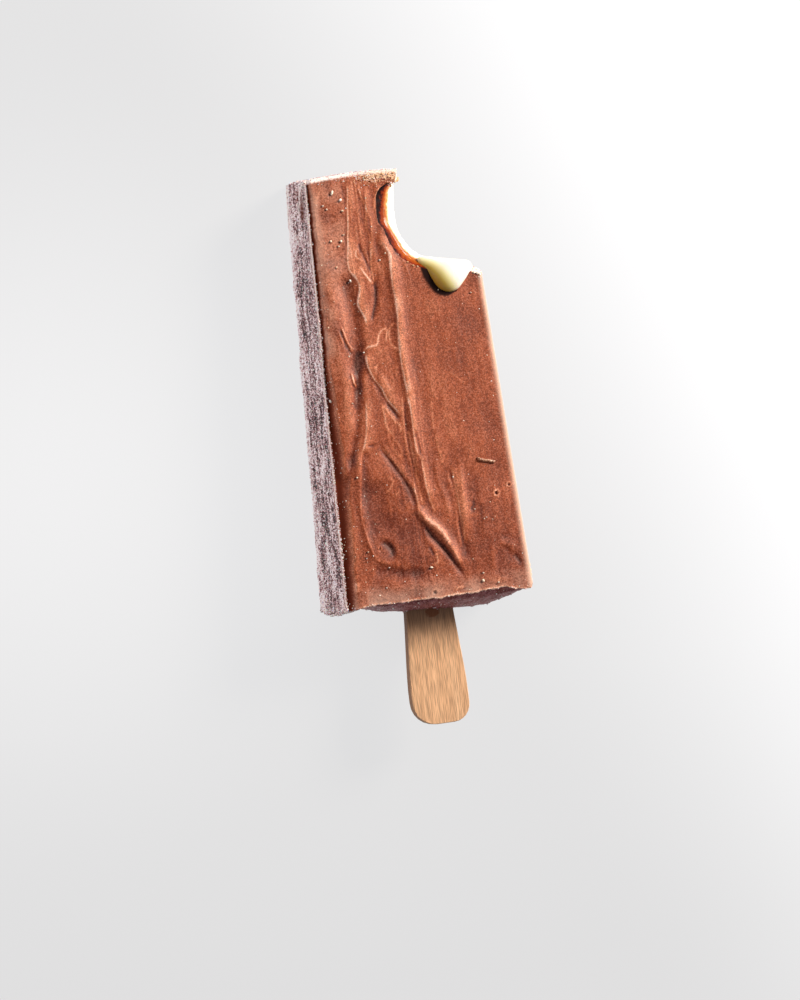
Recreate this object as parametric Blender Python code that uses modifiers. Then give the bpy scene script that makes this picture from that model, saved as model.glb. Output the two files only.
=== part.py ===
"""A chocolate-coated ice cream bar on a wooden stick, with one corner bitten off.

The bar lies on its flat back. Metres, +Z up out of the bar's front face, +Y towards the bitten tip,
and the stick towards -Y. The origin is the centre of the bar's flat back.
"""
import math

import bmesh
import bpy
from mathutils import Matrix, Vector

MM = 0.001
TINY = 0.01 * MM

# The moulded bar narrows and thins from the stick end to the tip.
BAR_LENGTH = 100.0 * MM
STICK_END_WIDTH = 46.5 * MM
TIP_WIDTH = 40.3 * MM
STICK_END_THICKNESS = 23.0 * MM
TIP_THICKNESS = 17.3 * MM
LONG_CHAMFER = 1.5 * MM
END_CHAMFER = 0.7 * MM
END_DOME = 3.2 * MM
TIP_CROWN = 1.5 * MM
# The mould's draft leaves the back of the tip this much longer than its front.
TIP_DRAFT = 1.9 * MM

# The coating's thickness and that of its front, the caramel under the front, and the gap that keeps
# neighbouring solids apart.
COAT = 1.9 * MM
FRONT_COAT = 1.5 * MM
CARAMEL = 1.5 * MM
GAP = 0.3 * MM

# The bite, in millimetres: its wall on the front and back faces, the blunt ridge that the wall bulges
# to at mid-thickness, and the straight lines outside the bar that close both.
BITE_CENTRE = Vector((18.0 * MM, 38.0 * MM))
BITE_WALL = [(2.3, 54.0), (1.9, 49.0), (-0.8, 48.2), (-2.6, 46.6), (-3.6, 43.4), (-3.4, 39.2),
             (-2.4, 36.2), (-0.9, 32.4), (1.8, 29.4), (6.2, 27.3), (11.0, 26.4), (16.5, 25.7), (22.0, 24.9)]
BITE_RIDGE = [(4.2, 54.0), (4.0, 50.2), (3.7, 48.8), (3.5, 46.6), (3.2, 43.2), (3.3, 39.0),
              (4.2, 36.0), (6.0, 33.4), (8.3, 31.6), (11.2, 31.0), (14.4, 30.3), (18.2, 29.2), (22.6, 27.2)]
BITE_OUTSIDE = [(32.0, 24.0), (32.0, 66.0), (4.2, 66.0)]
BITE_LEVELS = 10
BITE_OVERSHOOT = 2.5 * MM

# The wooden stick, which flares towards its rounded free end.
STICK_LENGTH = 93.0 * MM
STICK_OUT = 29.6 * MM
STICK_NECK_WIDTH = 11.5 * MM
STICK_FLARE_WIDTH = 14.2 * MM
STICK_FLARE_LENGTH = 21.0 * MM
STICK_THICKNESS = 2.4 * MM
# The corners at its -X and +X sides.
STICK_CORNERS = (5.6 * MM, 4.2 * MM)
STICK_EDGE = 0.35 * MM
STICK_STEP = 3.0 * MM

# The drop of melted ice cream that hangs over the bite's lower edge onto the front face.
DRIP_CENTRE = Vector((11.6 * MM, 25.6 * MM))
DRIP_TAIL = Vector((4.9 * MM, 30.3 * MM))
DRIP_RADIUS = 4.3 * MM
DRIP_HEIGHT = 2.7 * MM
# Shares of the drop's width and height lost at the tail's tip, and how far it sinks into the bite.
DRIP_TAPER = 0.55
DRIP_FLATTEN = 0.35
DRIP_SAG = 2.2 * MM
DRIP_SAG_RUN = 6.0 * MM

# The folds that the dipped chocolate set into, in millimetres on the front face:
# height, half-width, and the points that the crest or the furrow runs through.
FOLDS = [
    (0.45, 2.0, [(-17.6, 32), (-17.4, 14), (-17.0, -4), (-17.2, -20), (-18.0, -38)]),
    (-0.60, 1.4, [(-14.6, 27), (-13.6, 16), (-12.7, 7), (-14.2, 0), (-14.9, -6), (-15.4, -14)]),
    (0.50, 1.5, [(-5.5, 38), (-2.2, 32), (-1.7, 20), (-2.1, 4), (-1.4, -14), (-0.6, -25), (0.4, -30)]),
    (-0.30, 1.2, [(-9.3, 35), (-7.6, 30), (-6.4, 24), (-8.4, 16)]),
    (-0.35, 1.2, [(-12.2, 8), (-9.3, 2.4), (-7.0, -2.2), (-4.6, -7.5)]),
    (-0.50, 1.3, [(-10.8, -12), (-8.2, -16.5), (-5.4, -21), (-3.4, -25), (-2.8, -30)]),
    (0.85, 1.4, [(-2.6, -29.5), (1.6, -32.4), (4.2, -35.9), (7.4, -41)]),
    (-0.70, 1.2, [(-2.0, -33), (0.4, -36.6), (5.8, -44.5)]),
    (0.40, 1.3, [(4.2, -14), (5.7, -20.5), (6.4, -26), (6.3, -31), (7.4, -38)]),
    (-0.60, 3.6, [(-12.6, -20), (-12.2, -28), (-10.6, -34)]),
    (0.40, 1.2, [(-17.2, -26), (-16.4, -35), (-14.1, -39.4), (-10.2, -40.6)]),
    (-0.40, 1.4, [(-17, -42), (-9.4, -43), (-4.3, -43.4)]),
    (-0.40, 1.8, [(15.5, -36), (18.8, -39), (20.4, -44)]),
]
# The left edge of the raised film of chocolate down the middle of the front face.
FILM_EDGE = [(-9.6, 52), (-11.4, 39), (-12.4, 31.5), (-10.7, 25.2), (-11.6, 19.4), (-9.4, 14)]
FILM_HEIGHT = 0.55
FILM_WIDTH = 6.0


# How finely the folded front, across, along and in thickness, and the plain inner forms are divided.
FACE_CELLS = (30, 60, 4)
INNER_CELLS = (8, 4, 3)
CARAMEL_CELLS = (6, 4, 1)


def blend(low, high, value):
    """Smooth step from 0 at LOW to 1 at HIGH."""
    t = min(max((value - low) / (high - low), 0.0), 1.0)
    return t * t * (3.0 - 2.0 * t)


def along(y):
    """Share of the bar's length from the stick end to the tip."""
    return y / BAR_LENGTH + 0.5


def bar_width(y):
    return STICK_END_WIDTH + (TIP_WIDTH - STICK_END_WIDTH) * along(y)


def bar_thickness(y):
    return STICK_END_THICKNESS + (TIP_THICKNESS - STICK_END_THICKNESS) * along(y)


def nearest_on_line(point, line):
    """Distance to a line through points, and the side that the point is on: +1 on the line's left."""
    best, side = 1e9, 1.0
    for a, b in zip(line, line[1:]):
        start, run = Vector(a), Vector(b) - Vector(a)
        t = min(max((point - start).dot(run) / run.dot(run), 0.0), 1.0)
        offset = point - start - run * t
        if offset.length < best:
            best, side = offset.length, math.copysign(1.0, run.cross(offset))
    return best, side


def relief(x, y):
    """Height of the front face over the plain taper, in metres."""
    point = Vector((x, y)) / MM
    height = 0.0
    for rise, half_width, line in FOLDS:
        distance, _ = nearest_on_line(point, line)
        height += rise * math.exp(-(distance / half_width) ** 2)
    distance, side = nearest_on_line(point, FILM_EDGE)
    if side > 0.0:
        height += FILM_HEIGHT * (1.0 - blend(0.0, FILM_WIDTH, distance))
    edge = min(bar_width(y) / 2 - abs(x), BAR_LENGTH / 2 - abs(y))
    return height * MM * blend(0.0, 3.0 * MM, edge - LONG_CHAMFER / 2)


def new_object(name, bm, collection):
    """Turn a bmesh into an object at the origin."""
    bmesh.ops.triangulate(bm, faces=bm.faces)
    mesh = bpy.data.meshes.new(name)
    bm.to_mesh(mesh)
    bm.free()
    obj = bpy.data.objects.new(name, mesh)
    collection.objects.link(obj)
    return obj


def cut_cells(bm, axis, positions):
    """Cut the whole mesh by planes across one axis."""
    normal = Vector((0.0, 0.0, 0.0))
    normal[axis] = 1.0
    for position in positions:
        geometry = bm.verts[:] + bm.edges[:] + bm.faces[:]
        bmesh.ops.bisect_plane(bm, geom=geometry, plane_co=normal * position, plane_no=normal)


def even_cuts(low, high, cells):
    return [low + (high - low) * i / cells for i in range(1, cells)]


def tapered_bar(name, collection, side, floor, ceiling, cells, domed=True, folded=False):
    """The bar's form drawn in by SIDE at its edges, between two heights given as functions of y.

    The tip is crowned and drafted. DOMED rounds the stick end out, and FOLDED adds the folds to the
    front face.
    """
    width = STICK_END_WIDTH - 2 * side
    length = BAR_LENGTH - 2 * side
    height = ceiling(-BAR_LENGTH / 2) - floor(-BAR_LENGTH / 2)
    chamfer = min(LONG_CHAMFER, 0.3 * height)
    end_chamfer = min(END_CHAMFER, 0.2 * height)
    half_x, half_y, half_z = width / 2, length / 2, height / 2
    bm = bmesh.new()
    bmesh.ops.create_cube(bm, size=1.0, matrix=Matrix.Diagonal((width, length, height, 1.0)))
    long_edges = [e for e in bm.edges if abs(e.verts[0].co.y - e.verts[1].co.y) > half_y]
    bmesh.ops.bevel(bm, geom=long_edges, offset=chamfer, segments=1, affect='EDGES')
    end_edges = [e for e in bm.edges if abs(e.verts[0].co.y + e.verts[1].co.y) > 2 * half_y - TINY]
    bmesh.ops.bevel(bm, geom=end_edges, offset=end_chamfer, segments=1, affect='EDGES')
    inner_x, inner_y, inner_z = half_x - chamfer, half_y - end_chamfer, half_z - chamfer
    cut_cells(bm, 0, even_cuts(-inner_x, inner_x, cells[0]))
    cut_cells(bm, 1, even_cuts(-inner_y, inner_y, cells[1]))
    cut_cells(bm, 2, even_cuts(-inner_z, inner_z, cells[2]))
    for vert in bm.verts:
        x, y, z = vert.co
        on_stick_end = y < -half_y + TINY
        on_tip = y > inner_y - TINY
        on_front = z > half_z - TINY
        # The dome covers the stick end's face, and falls to nothing at that face's edges.
        across, up = x / (half_x - end_chamfer), z / (half_z - end_chamfer)
        dome = END_DOME * math.sqrt(max(1.0 - across ** 4, 0.0) * max(1.0 - up ** 2, 0.0))
        # Chamfers keep their size, and the faces between them are squeezed to the width and
        # the thickness here.
        half_here = bar_width(y) / 2 - side
        if abs(x) > inner_x - TINY:
            x = math.copysign(half_here - half_x + abs(x), x)
        else:
            x *= (half_here - chamfer) / inner_x
        low, high = floor(y), ceiling(y)
        if z < -inner_z + TINY:
            z = low + half_z + z
        elif z > inner_z - TINY:
            z = high - half_z + z
        else:
            z = low + chamfer + (z + inner_z) / (2 * inner_z) * (high - low - 2 * chamfer)
        if folded and on_front:
            z += relief(x, y)
        if on_stick_end and domed:
            y -= dome
        elif on_tip:
            y += TIP_CROWN * (1.0 - (2 * x / TIP_WIDTH) ** 2) + TIP_DRAFT * (1.0 - z / TIP_THICKNESS)
        vert.co = (x, y, z)
    flat = math.radians(0.05)
    bmesh.ops.dissolve_limit(bm, angle_limit=flat, verts=bm.verts, edges=bm.edges)
    return new_object(name, bm, collection)


def smooth_line(points, steps):
    """Points along a Catmull-Rom curve through POINTS, STEPS to each span."""
    ends = [points[0], *points, points[-1]]
    line = []
    for i in range(len(points) - 1):
        before, a, b, after = (Vector(p) for p in ends[i:i + 4])
        for step in range(steps):
            t = step / steps
            line.append(0.5 * (2 * a + (b - before) * t + (2 * before - 5 * a + 4 * b - after) * t ** 2
                               + (3 * a - before - 3 * b + after) * t ** 3))
    return line + [Vector(points[-1])]


def bite_cutter(name, collection, clearance=0.0):
    """The space the bite took: widest at both faces, with a blunt ridge at mid-thickness."""
    wall = [p * MM for p in smooth_line(BITE_WALL, 2) + [Vector(p) for p in BITE_OUTSIDE]]
    ridge = [p * MM for p in smooth_line(BITE_RIDGE, 2) + [Vector(p) for p in BITE_OUTSIDE]]
    # The rings run from just under the flat back to the front face, and one more clears that.
    low = -2 * GAP
    bm = bmesh.new()
    top = bm.faces.new([bm.verts.new((p.x, p.y, low - MM)) for p in wall])
    for level in range(BITE_LEVELS + 2):
        share = min(level / BITE_LEVELS, 1.0)
        swell = math.sin(math.pi * share) ** 0.75
        below = top
        grown = bmesh.ops.extrude_face_region(bm, geom=[below], use_keep_orig=True)
        top = next(item for item in grown["geom"] if isinstance(item, bmesh.types.BMFace))
        if level > 0:
            bmesh.ops.delete(bm, geom=[below], context='FACES_ONLY')
        for vert, on_wall, on_ridge in zip(top.verts, wall, ridge):
            flat = on_wall.lerp(on_ridge, swell)
            flat -= (flat - BITE_CENTRE).normalized() * clearance
            high = bar_thickness(flat.y)
            if level > BITE_LEVELS:
                high = bar_thickness(BITE_CENTRE.y) + BITE_OVERSHOOT
            vert.co = (flat.x, flat.y, low + (high - low) * share)
    bmesh.ops.recalc_face_normals(bm, faces=bm.faces)
    return new_object(name, bm, collection)


def stick_half_width(out, corner):
    """Half the stick's width at a distance OUT of the bar's end, negative inside the bar."""
    straight = min(max(out / STICK_FLARE_LENGTH, 0.0), 1.0)
    flare = (straight + blend(0.0, STICK_FLARE_LENGTH, out)) / 2
    half = (STICK_NECK_WIDTH + (STICK_FLARE_WIDTH - STICK_NECK_WIDTH) * flare) / 2
    for end in (STICK_OUT, STICK_OUT - STICK_LENGTH):
        near = corner - abs(end - out)
        if near > 0.0:
            half -= corner - math.sqrt(max(corner ** 2 - near ** 2, 0.0))
    return half


def stick_side(corner):
    """Points down one side of the stick, as half-width and y, from its free end to its inner end."""
    turn = [corner * (1.0 - math.cos(math.radians(a))) for a in range(0, 91, 15)]
    flared = int((STICK_OUT - corner) / STICK_STEP)
    places = [STICK_OUT - d for d in turn]
    places += [STICK_OUT - corner - i * STICK_STEP for i in range(1, flared + 1)]
    places += [STICK_OUT - STICK_LENGTH + d for d in reversed(turn)]
    return [(stick_half_width(out, corner), -BAR_LENGTH / 2 - out) for out in places]


def stick(name, collection):
    """A flat outline, extruded to the stick's thickness, with its arrises eased."""
    right = stick_side(STICK_CORNERS[1])
    left = [(-x, y) for x, y in reversed(stick_side(STICK_CORNERS[0]))]
    curve = bpy.data.curves.new(name, 'CURVE')
    curve.dimensions = '2D'
    curve.fill_mode = 'BOTH'
    curve.extrude = STICK_THICKNESS / 2
    spline = curve.splines.new('POLY')
    spline.points.add(len(right) + len(left) - 1)
    for point, (x, y) in zip(spline.points, right + left):
        point.co = (x, y, 0.0, 1.0)
    spline.use_cyclic_u = True
    outline = bpy.data.objects.new(name + "_outline", curve)
    collection.objects.link(outline)
    bpy.context.view_layer.update()
    solid = outline.evaluated_get(bpy.context.evaluated_depsgraph_get())
    mesh = bpy.data.meshes.new_from_object(solid)
    bpy.data.objects.remove(outline)
    bm = bmesh.new()
    bm.from_mesh(mesh)
    bmesh.ops.remove_doubles(bm, verts=bm.verts, dist=0.01 * MM)
    bmesh.ops.dissolve_limit(bm, angle_limit=math.radians(0.1), verts=bm.verts, edges=bm.edges)
    bpy.data.meshes.remove(mesh)
    obj = new_object(name, bm, collection)
    bevel = obj.modifiers.new("eased arrises", 'BEVEL')
    bevel.width = STICK_EDGE
    bevel.segments = 1
    bevel.limit_method = 'ANGLE'
    bevel.angle_limit = math.radians(60)
    return obj


def melt_drip(name, collection):
    """A teardrop: a ball drawn out into a tail along the bite's edge, lying on the front face."""
    bm = bmesh.new()
    bmesh.ops.create_uvsphere(bm, u_segments=24, v_segments=14, radius=1.0)
    tail = DRIP_TAIL - DRIP_CENTRE
    axis = tail.normalized()
    side = Vector((-axis.y, axis.x))
    for vert in bm.verts:
        forward, across, up = vert.co
        # Towards the tail the ball gets longer, narrower and lower.
        pull = max(forward, 0.0)
        reach = DRIP_RADIUS * forward + (tail.length - DRIP_RADIUS) * pull ** 2
        narrow = 1.0 - DRIP_TAPER * pull ** 1.5
        flat = DRIP_CENTRE + axis * reach + side * (DRIP_RADIUS * across * narrow)
        # The drip also runs back over the edge, down the bite's lower wall.
        sag = DRIP_SAG * blend(0.0, DRIP_SAG_RUN, flat.y - DRIP_CENTRE.y)
        z = bar_thickness(flat.y) + up * DRIP_HEIGHT * (1.0 - DRIP_FLATTEN * pull) - sag
        vert.co = (flat.x, flat.y, z)
    return new_object(name, bm, collection)


def subtract(obj, cutter):
    modifier = obj.modifiers.new("less " + cutter.name, 'BOOLEAN')
    modifier.operation = 'DIFFERENCE'
    modifier.object = cutter


def box_cutter(name, collection, low, high):
    bm = bmesh.new()
    low, high = Vector(low), Vector(high)
    size = high - low
    matrix = Matrix.Translation((low + high) / 2) @ Matrix.Diagonal((size.x, size.y, size.z, 1.0))
    bmesh.ops.create_cube(bm, size=1.0, matrix=matrix)
    return new_object(name, bm, collection)


def finish(obj, name, colour, roughness, smooth_angle):
    material = bpy.data.materials.new(name)
    material.use_nodes = True
    shader = material.node_tree.nodes["Principled BSDF"]
    shader.inputs["Base Color"].default_value = (*colour, 1.0)
    shader.inputs["Roughness"].default_value = roughness
    obj.data.materials.append(material)
    obj.data.shade_smooth()
    obj.data.set_sharp_from_angle(angle=math.radians(smooth_angle))


for old in list(bpy.data.objects):
    bpy.data.objects.remove(old)
parts = bpy.data.collections.new("Ice cream bar")
cutters = bpy.data.collections.new("Cutters")
bpy.context.scene.collection.children.link(parts)
bpy.context.scene.collection.children.link(cutters)

bite = bite_cutter("bite", cutters)

# The stick follows the bar's middle, which rises towards the thick end.
middle_slope = math.atan((STICK_END_THICKNESS - TIP_THICKNESS) / 2 / BAR_LENGTH)
middle_height = (STICK_END_THICKNESS + TIP_THICKNESS) / 4
lay = Matrix.Translation((0.0, 0.0, middle_height)) @ Matrix.Rotation(-middle_slope, 4, 'X')
wooden_stick = stick("wooden_stick", parts)
wooden_stick.matrix_world = lay

slot_half = STICK_NECK_WIDTH / 2 + 2 * GAP
slot_rise = STICK_THICKNESS / 2 + GAP
slot = box_cutter("stick_slot", cutters, (-slot_half, -BAR_LENGTH / 2 - 8 * MM, -slot_rise),
                  (slot_half, -BAR_LENGTH / 2 - STICK_OUT + STICK_LENGTH + GAP, slot_rise))
slot.matrix_world = lay

# The chocolate coating is the outer form, less the space for what it holds.
coating = tapered_bar("chocolate_coating", parts, 0.0, lambda y: 0.0, bar_thickness, FACE_CELLS,
                      folded=True)
hold = tapered_bar("hold", cutters, COAT, lambda y: COAT, lambda y: bar_thickness(y) - FRONT_COAT,
                   INNER_CELLS)
subtract(coating, hold)
subtract(coating, bite)
subtract(coating, slot)

# The caramel is a sheet just under the front of the coating, short of the coating's inner corners.
caramel_top = FRONT_COAT + GAP
caramel_bottom = caramel_top + CARAMEL
caramel = tapered_bar("caramel_layer", parts, COAT + CARAMEL, lambda y: bar_thickness(y) - caramel_bottom,
                      lambda y: bar_thickness(y) - caramel_top, CARAMEL_CELLS, domed=False)
subtract(caramel, bite)

# The ice cream fills the rest.
ice_top = caramel_bottom + GAP
ice_cream = tapered_bar("ice_cream", parts, COAT + GAP, lambda y: COAT + GAP,
                        lambda y: bar_thickness(y) - ice_top, INNER_CELLS)
subtract(ice_cream, bite)
subtract(ice_cream, slot)

# The drip keeps clear of a slightly swollen copy of the bitten bar.
drip = melt_drip("melt_drip", parts)
clear = tapered_bar("drip_clearance", cutters, -GAP, lambda y: -GAP, lambda y: bar_thickness(y) + GAP,
                    FACE_CELLS, folded=True)
subtract(clear, bite_cutter("bite_clearance", cutters, clearance=GAP))
subtract(drip, clear)

finish(coating, "milk chocolate", (0.42, 0.13, 0.07), 0.5, 35)
finish(caramel, "caramel", (0.62, 0.22, 0.05), 0.25, 35)
finish(ice_cream, "vanilla ice cream", (0.90, 0.83, 0.64), 0.6, 35)
finish(drip, "melted ice cream", (0.95, 0.88, 0.62), 0.15, 50)
finish(wooden_stick, "birch", (0.72, 0.46, 0.25), 0.6, 35)

for cutter in cutters.objects:
    cutter.hide_render = True
    cutter.display_type = 'WIRE'
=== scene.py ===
"""Looks of a bitten, chocolate-coated ice cream bar that lies on its flat back."""
import math

import bpy
import numpy as np
from mathutils import Matrix, Quaternion, Vector, kdtree, noise


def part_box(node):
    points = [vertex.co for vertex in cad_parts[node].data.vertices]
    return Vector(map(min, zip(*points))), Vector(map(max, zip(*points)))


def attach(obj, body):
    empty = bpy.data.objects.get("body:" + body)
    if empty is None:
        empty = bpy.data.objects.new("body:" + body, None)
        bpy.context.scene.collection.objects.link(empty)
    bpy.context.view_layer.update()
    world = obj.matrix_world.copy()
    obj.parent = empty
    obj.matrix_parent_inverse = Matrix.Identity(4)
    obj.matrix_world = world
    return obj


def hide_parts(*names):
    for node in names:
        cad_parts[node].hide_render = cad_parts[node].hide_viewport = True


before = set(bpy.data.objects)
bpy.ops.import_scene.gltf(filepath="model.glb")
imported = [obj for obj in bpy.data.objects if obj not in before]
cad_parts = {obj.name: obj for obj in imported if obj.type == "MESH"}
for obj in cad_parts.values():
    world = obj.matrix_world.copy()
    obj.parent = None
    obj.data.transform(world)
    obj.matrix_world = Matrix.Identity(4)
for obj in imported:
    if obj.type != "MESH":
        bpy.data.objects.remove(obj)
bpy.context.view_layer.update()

# ---- Camera ----
# It looks down on the lying bar from a little to its left, and is rolled so that the bar leans left.
MM = 0.001
VIEW_CENTRE = Vector((-6.74, -25.92, 20.0)) * MM
VIEW_DISTANCE = 550.0 * MM
VIEW_YAW, VIEW_PITCH, VIEW_ROLL = (math.radians(a) for a in (18.6, 0.1, 6.47))

back = Vector((-math.sin(VIEW_YAW) * math.cos(VIEW_PITCH), -math.sin(VIEW_PITCH),
    math.cos(VIEW_YAW) * math.cos(VIEW_PITCH)))
right = Vector((0, 1, 0)).cross(back).normalized()
turned = Matrix((right, back.cross(right), back)).transposed() @ Matrix.Rotation(-VIEW_ROLL, 3, 'Z')
camera = bpy.data.objects.new("camera", bpy.data.cameras.new("camera"))
bpy.context.scene.collection.objects.link(camera)
camera.matrix_world = Matrix.Translation(VIEW_CENTRE + back * VIEW_DISTANCE) @ turned.to_4x4()
camera.data.lens = 85.0
camera.data.clip_start = 0.01
bpy.context.scene.camera = camera
bpy.context.scene.view_settings.view_transform = 'Standard'

# ---- Floor and lights ----
# A pale floor that glows with painted light, in a bright room. A soft lamp at the bar's upper right models
# the folds, a low one beside it grazes the right edge and the tip, and a broad low one lights the frosted
# left side.


def srgb(code):
    """Linear colour from a hex code."""
    parts = [int(code[i:i + 2], 16) / 255 for i in (1, 3, 5)]
    return [p / 12.92 if p <= 0.04045 else ((p + 0.055) / 1.055) ** 2.4 for p in parts] + [1.0]


def add(tree, kind, inputs=(), **settings):
    """Adds a node. Its inputs are values, outputs to link from, or nodes to link from by their first."""
    made = tree.nodes.new(kind)
    for key, value in settings.items():
        setattr(made, key, value)
    for key, value in dict(inputs).items():
        if isinstance(value, bpy.types.Node):
            value = next(output for output in value.outputs if output.enabled)
        if isinstance(value, bpy.types.NodeSocket):
            tree.links.new(value, made.inputs[key])
        else:
            made.inputs[key].default_value = value
    return made


def new_material(name):
    made = bpy.data.materials.new(name)
    made.use_nodes = True
    made.node_tree.nodes.clear()
    return made, made.node_tree


def close_material(tree, shader):
    add(tree, 'ShaderNodeOutputMaterial', {"Surface": shader})


def deselect():
    for shown in bpy.context.selected_objects:
        shown.select_set(False)


FLOOR_SIZE = 4.0
FLOOR_DROP = 0.05 * MM
deselect()
bpy.ops.mesh.primitive_plane_add(size=FLOOR_SIZE, location=(0, 0, -FLOOR_DROP))
floor = bpy.context.object
floor.name = "floor"
# A white floor that glows with painted light, as a shadow-free product table does, though no lamp is behind
# it: most towards its far right, a little more at the left and less at its near end, so the shadows on it
# stay pale.
glowing_floor, tree = new_material("glowing_white_floor")
place = add(tree, 'ShaderNodeTexCoord').outputs["Object"]
toward_lamp = add(tree, 'ShaderNodeVectorMath', {0: place, 1: (0.91, 0.41, 0.0)}, operation='DOT_PRODUCT')
glow = add(tree, 'ShaderNodeMapRange', {"Value": toward_lamp.outputs["Value"], "From Min": -0.02,
    "From Max": 0.20, "To Min": 0.695, "To Max": 1.245}, interpolation_type='SMOOTHSTEP')
off_left = add(tree, 'ShaderNodeVectorMath', {0: place, 1: (-0.083, -0.009, 0.0)}, operation='DISTANCE')
left_glow = add(tree, 'ShaderNodeMapRange', {"Value": off_left.outputs["Value"], "From Min": 0.0,
    "From Max": 0.104, "To Min": 0.104, "To Max": 0.0}, interpolation_type='SMOOTHSTEP')
near_end = add(tree, 'ShaderNodeSeparateXYZ', {"Vector": place}).outputs["Y"]
near_glow = add(tree, 'ShaderNodeMapRange', {"Value": near_end, "From Min": -0.14, "From Max": -0.07,
    "To Min": 0.0, "To Max": 0.032})
glow = add(tree, 'ShaderNodeMath', {0: glow, 1: near_glow}, operation='ADD')
glow = add(tree, 'ShaderNodeMath', {0: glow, 1: left_glow}, operation='ADD')
surface = add(tree, 'ShaderNodeBsdfPrincipled', {
    "Base Color": srgb("#3e3e3e"), "Roughness": 0.8, "Specular IOR Level": 0.1,
    "Emission Color": srgb("#fefeff"), "Emission Strength": glow})
close_material(tree, surface)
floor.data.materials.append(glowing_floor)

LAMPS = [
    # name, direction from the bar, distance, width, power, colour
    ("key", (0.78, 0.46, 0.58), 1.1, 0.34, 18.0, "#fff3e6"),
    ("graze", (0.95, 0.45, 0.16), 1.0, 0.35, 5.0, "#ffffff"),
    ("fill", (-1.0, 0.35, 0.16), 1.1, 0.8, 6.5, "#fff2f4"),
]
for name, direction, distance, width, power, colour in LAMPS:
    lamp = bpy.data.objects.new(name, bpy.data.lights.new(name, 'AREA'))
    lamp.data.energy = power
    lamp.data.size = width
    lamp.data.color = srgb(colour)[:3]
    toward = Vector(direction).normalized()
    lamp.location = toward * distance
    lamp.rotation_euler = toward.to_track_quat('Z', 'Y').to_euler()
    bpy.context.scene.collection.objects.link(lamp)

world = bpy.data.worlds.new("room")
world.use_nodes = True
world.node_tree.nodes["Background"].inputs["Color"].default_value = srgb("#f6f6f8")
world.node_tree.nodes["Background"].inputs["Strength"].default_value = 0.27
bpy.context.scene.world = world

# ---- Chocolate coating ----
# Milk chocolate that the bar was dipped into. It set in overlapping films and folds on the front, and
# frost has formed on the sides and ends. The mould gave the bar its taper and the tip its draft.
coat_low, coat_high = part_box("chocolate_coating")
WIDTH_AT_STICK = coat_high.x - coat_low.x
WIDTH_AT_TIP = 40.3 * MM
BAR_LENGTH = 100.0 * MM
HEIGHT_AT_STICK = 23.0 * MM
HEIGHT_AT_TIP = 17.3 * MM
TIP_CROWN = 1.5 * MM
TIP_DRAFT = 1.9 * MM
GRID_ACROSS, GRID_ALONG = 172, 386
LEFT_CROWDING = 0.42    # how much closer the columns stand on the left, where the folds are
# The rings of the rim, as millimetres in from the plain outline and down from the front: a crisp crest on
# the left, rounded on the right and the tip, and a thin undercut lip at the stick end.
RIM_LEFT = [(0.30, 0), (0.16, 0.05), (0.06, 0.16), (0, 0.34), (0, 0.7), (0, 1.2), (0, 1.8)]
RIM_RIGHT = [(1.50, 0), (1.05, 0.08), (0.66, 0.26), (0.33, 0.58), (0.10, 1.0), (0, 1.5), (0, 2.0)]
RIM_TIP = [(1.00, 0), (0.64, 0.06), (0.36, 0.18), (0.15, 0.40), (0.03, 0.75), (0, 1.25), (0, 1.8)]
RIM_LIP = [(0, 0), (-0.10, 0.18), (0.15, 0.34), (0.90, 0.45), (1.30, 0.90), (1.00, 1.60), (0.50, 2.1)]
LIP_START = (-20.6, -19.2)    # the lip begins between these distances across
# The front falls away to the left into a hollow behind the crest. How far in the hollow begins, against y:
# a ragged gap at the tip, and a broad soft fold nearer the stick end.
HOLLOW_DEPTH = 1.75
HOLLOW_FLOOR = 0.45
HOLLOW_REACH = [(-50, 2.9), (-40, 3.1), (-31, 3.5), (-20, 3.5), (-9, 2.7), (3, 2.1), (14, 1.7), (52, 1.5)]
RAGGED_FROM = (2.0, 16.0)
RAGGED_SHARE = 0.40    # how much shallower the ragged gap is
CREST_RISE, CREST_WIDTH = 0.35, 0.50
# How far the front's stick-end lip stands in from the plain end, and how far the end bulges, against x.
LIP_LINE = [(-23.2, 0.0), (-20.8, 0.4), (-15.4, 0.6), (-10.7, 0.5), (-3.2, 0.7), (-0.7, 0.3), (3.3, 0.8),
    (8.5, 0.6), (11.2, 1.0), (16.3, 1.1), (21.4, 0.0), (23.2, 0.0)]
BULGE_LINE = [(-23.2, 1.2), (-21.0, 0.6), (-19.0, 0.3), (-16.7, 0.6), (-11.7, 2.0), (-6.5, 2.5), (3.9,
    3.0), (10.5, 3.5), (14.6, 3.3), (17.4, 2.7), (20.2, 1.8), (23.2, 0.4)]
# The curled edge at the tip's left corner, as millimetres under the front against y.
CURL_EDGE = [(7.3, 42.0), (7.0, 46.0), (5.6, 48.2), (2.8, 49.6), (0.0, 50.6)]
WALL_RINGS = 17
FOOT_RINGS = 3
FOOT_INSET, FOOT_DROP = 1.0 * MM, 1.0 * MM


def bar_width(y):
    return WIDTH_AT_STICK + (WIDTH_AT_TIP - WIDTH_AT_STICK) * (y / BAR_LENGTH + 0.5)


def bar_height(y):
    return HEIGHT_AT_STICK + (HEIGHT_AT_TIP - HEIGHT_AT_STICK) * (y / BAR_LENGTH + 0.5)


def points_of(obj):
    """The vertices of a mesh object as an array."""
    flat = np.empty(len(obj.data.vertices) * 3)
    obj.data.vertices.foreach_get("co", flat)
    return flat.reshape(-1, 3)


def move_points(obj, points):
    obj.data.vertices.foreach_set("co", points.astype(np.float32).ravel())
    obj.data.update()


def note(obj, name, values):
    """Keeps a value for each vertex under a name, for a material to read."""
    layer = obj.data.attributes.new(name, 'FLOAT', 'POINT')
    layer.data.foreach_set("value", values.astype(np.float32))


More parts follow.
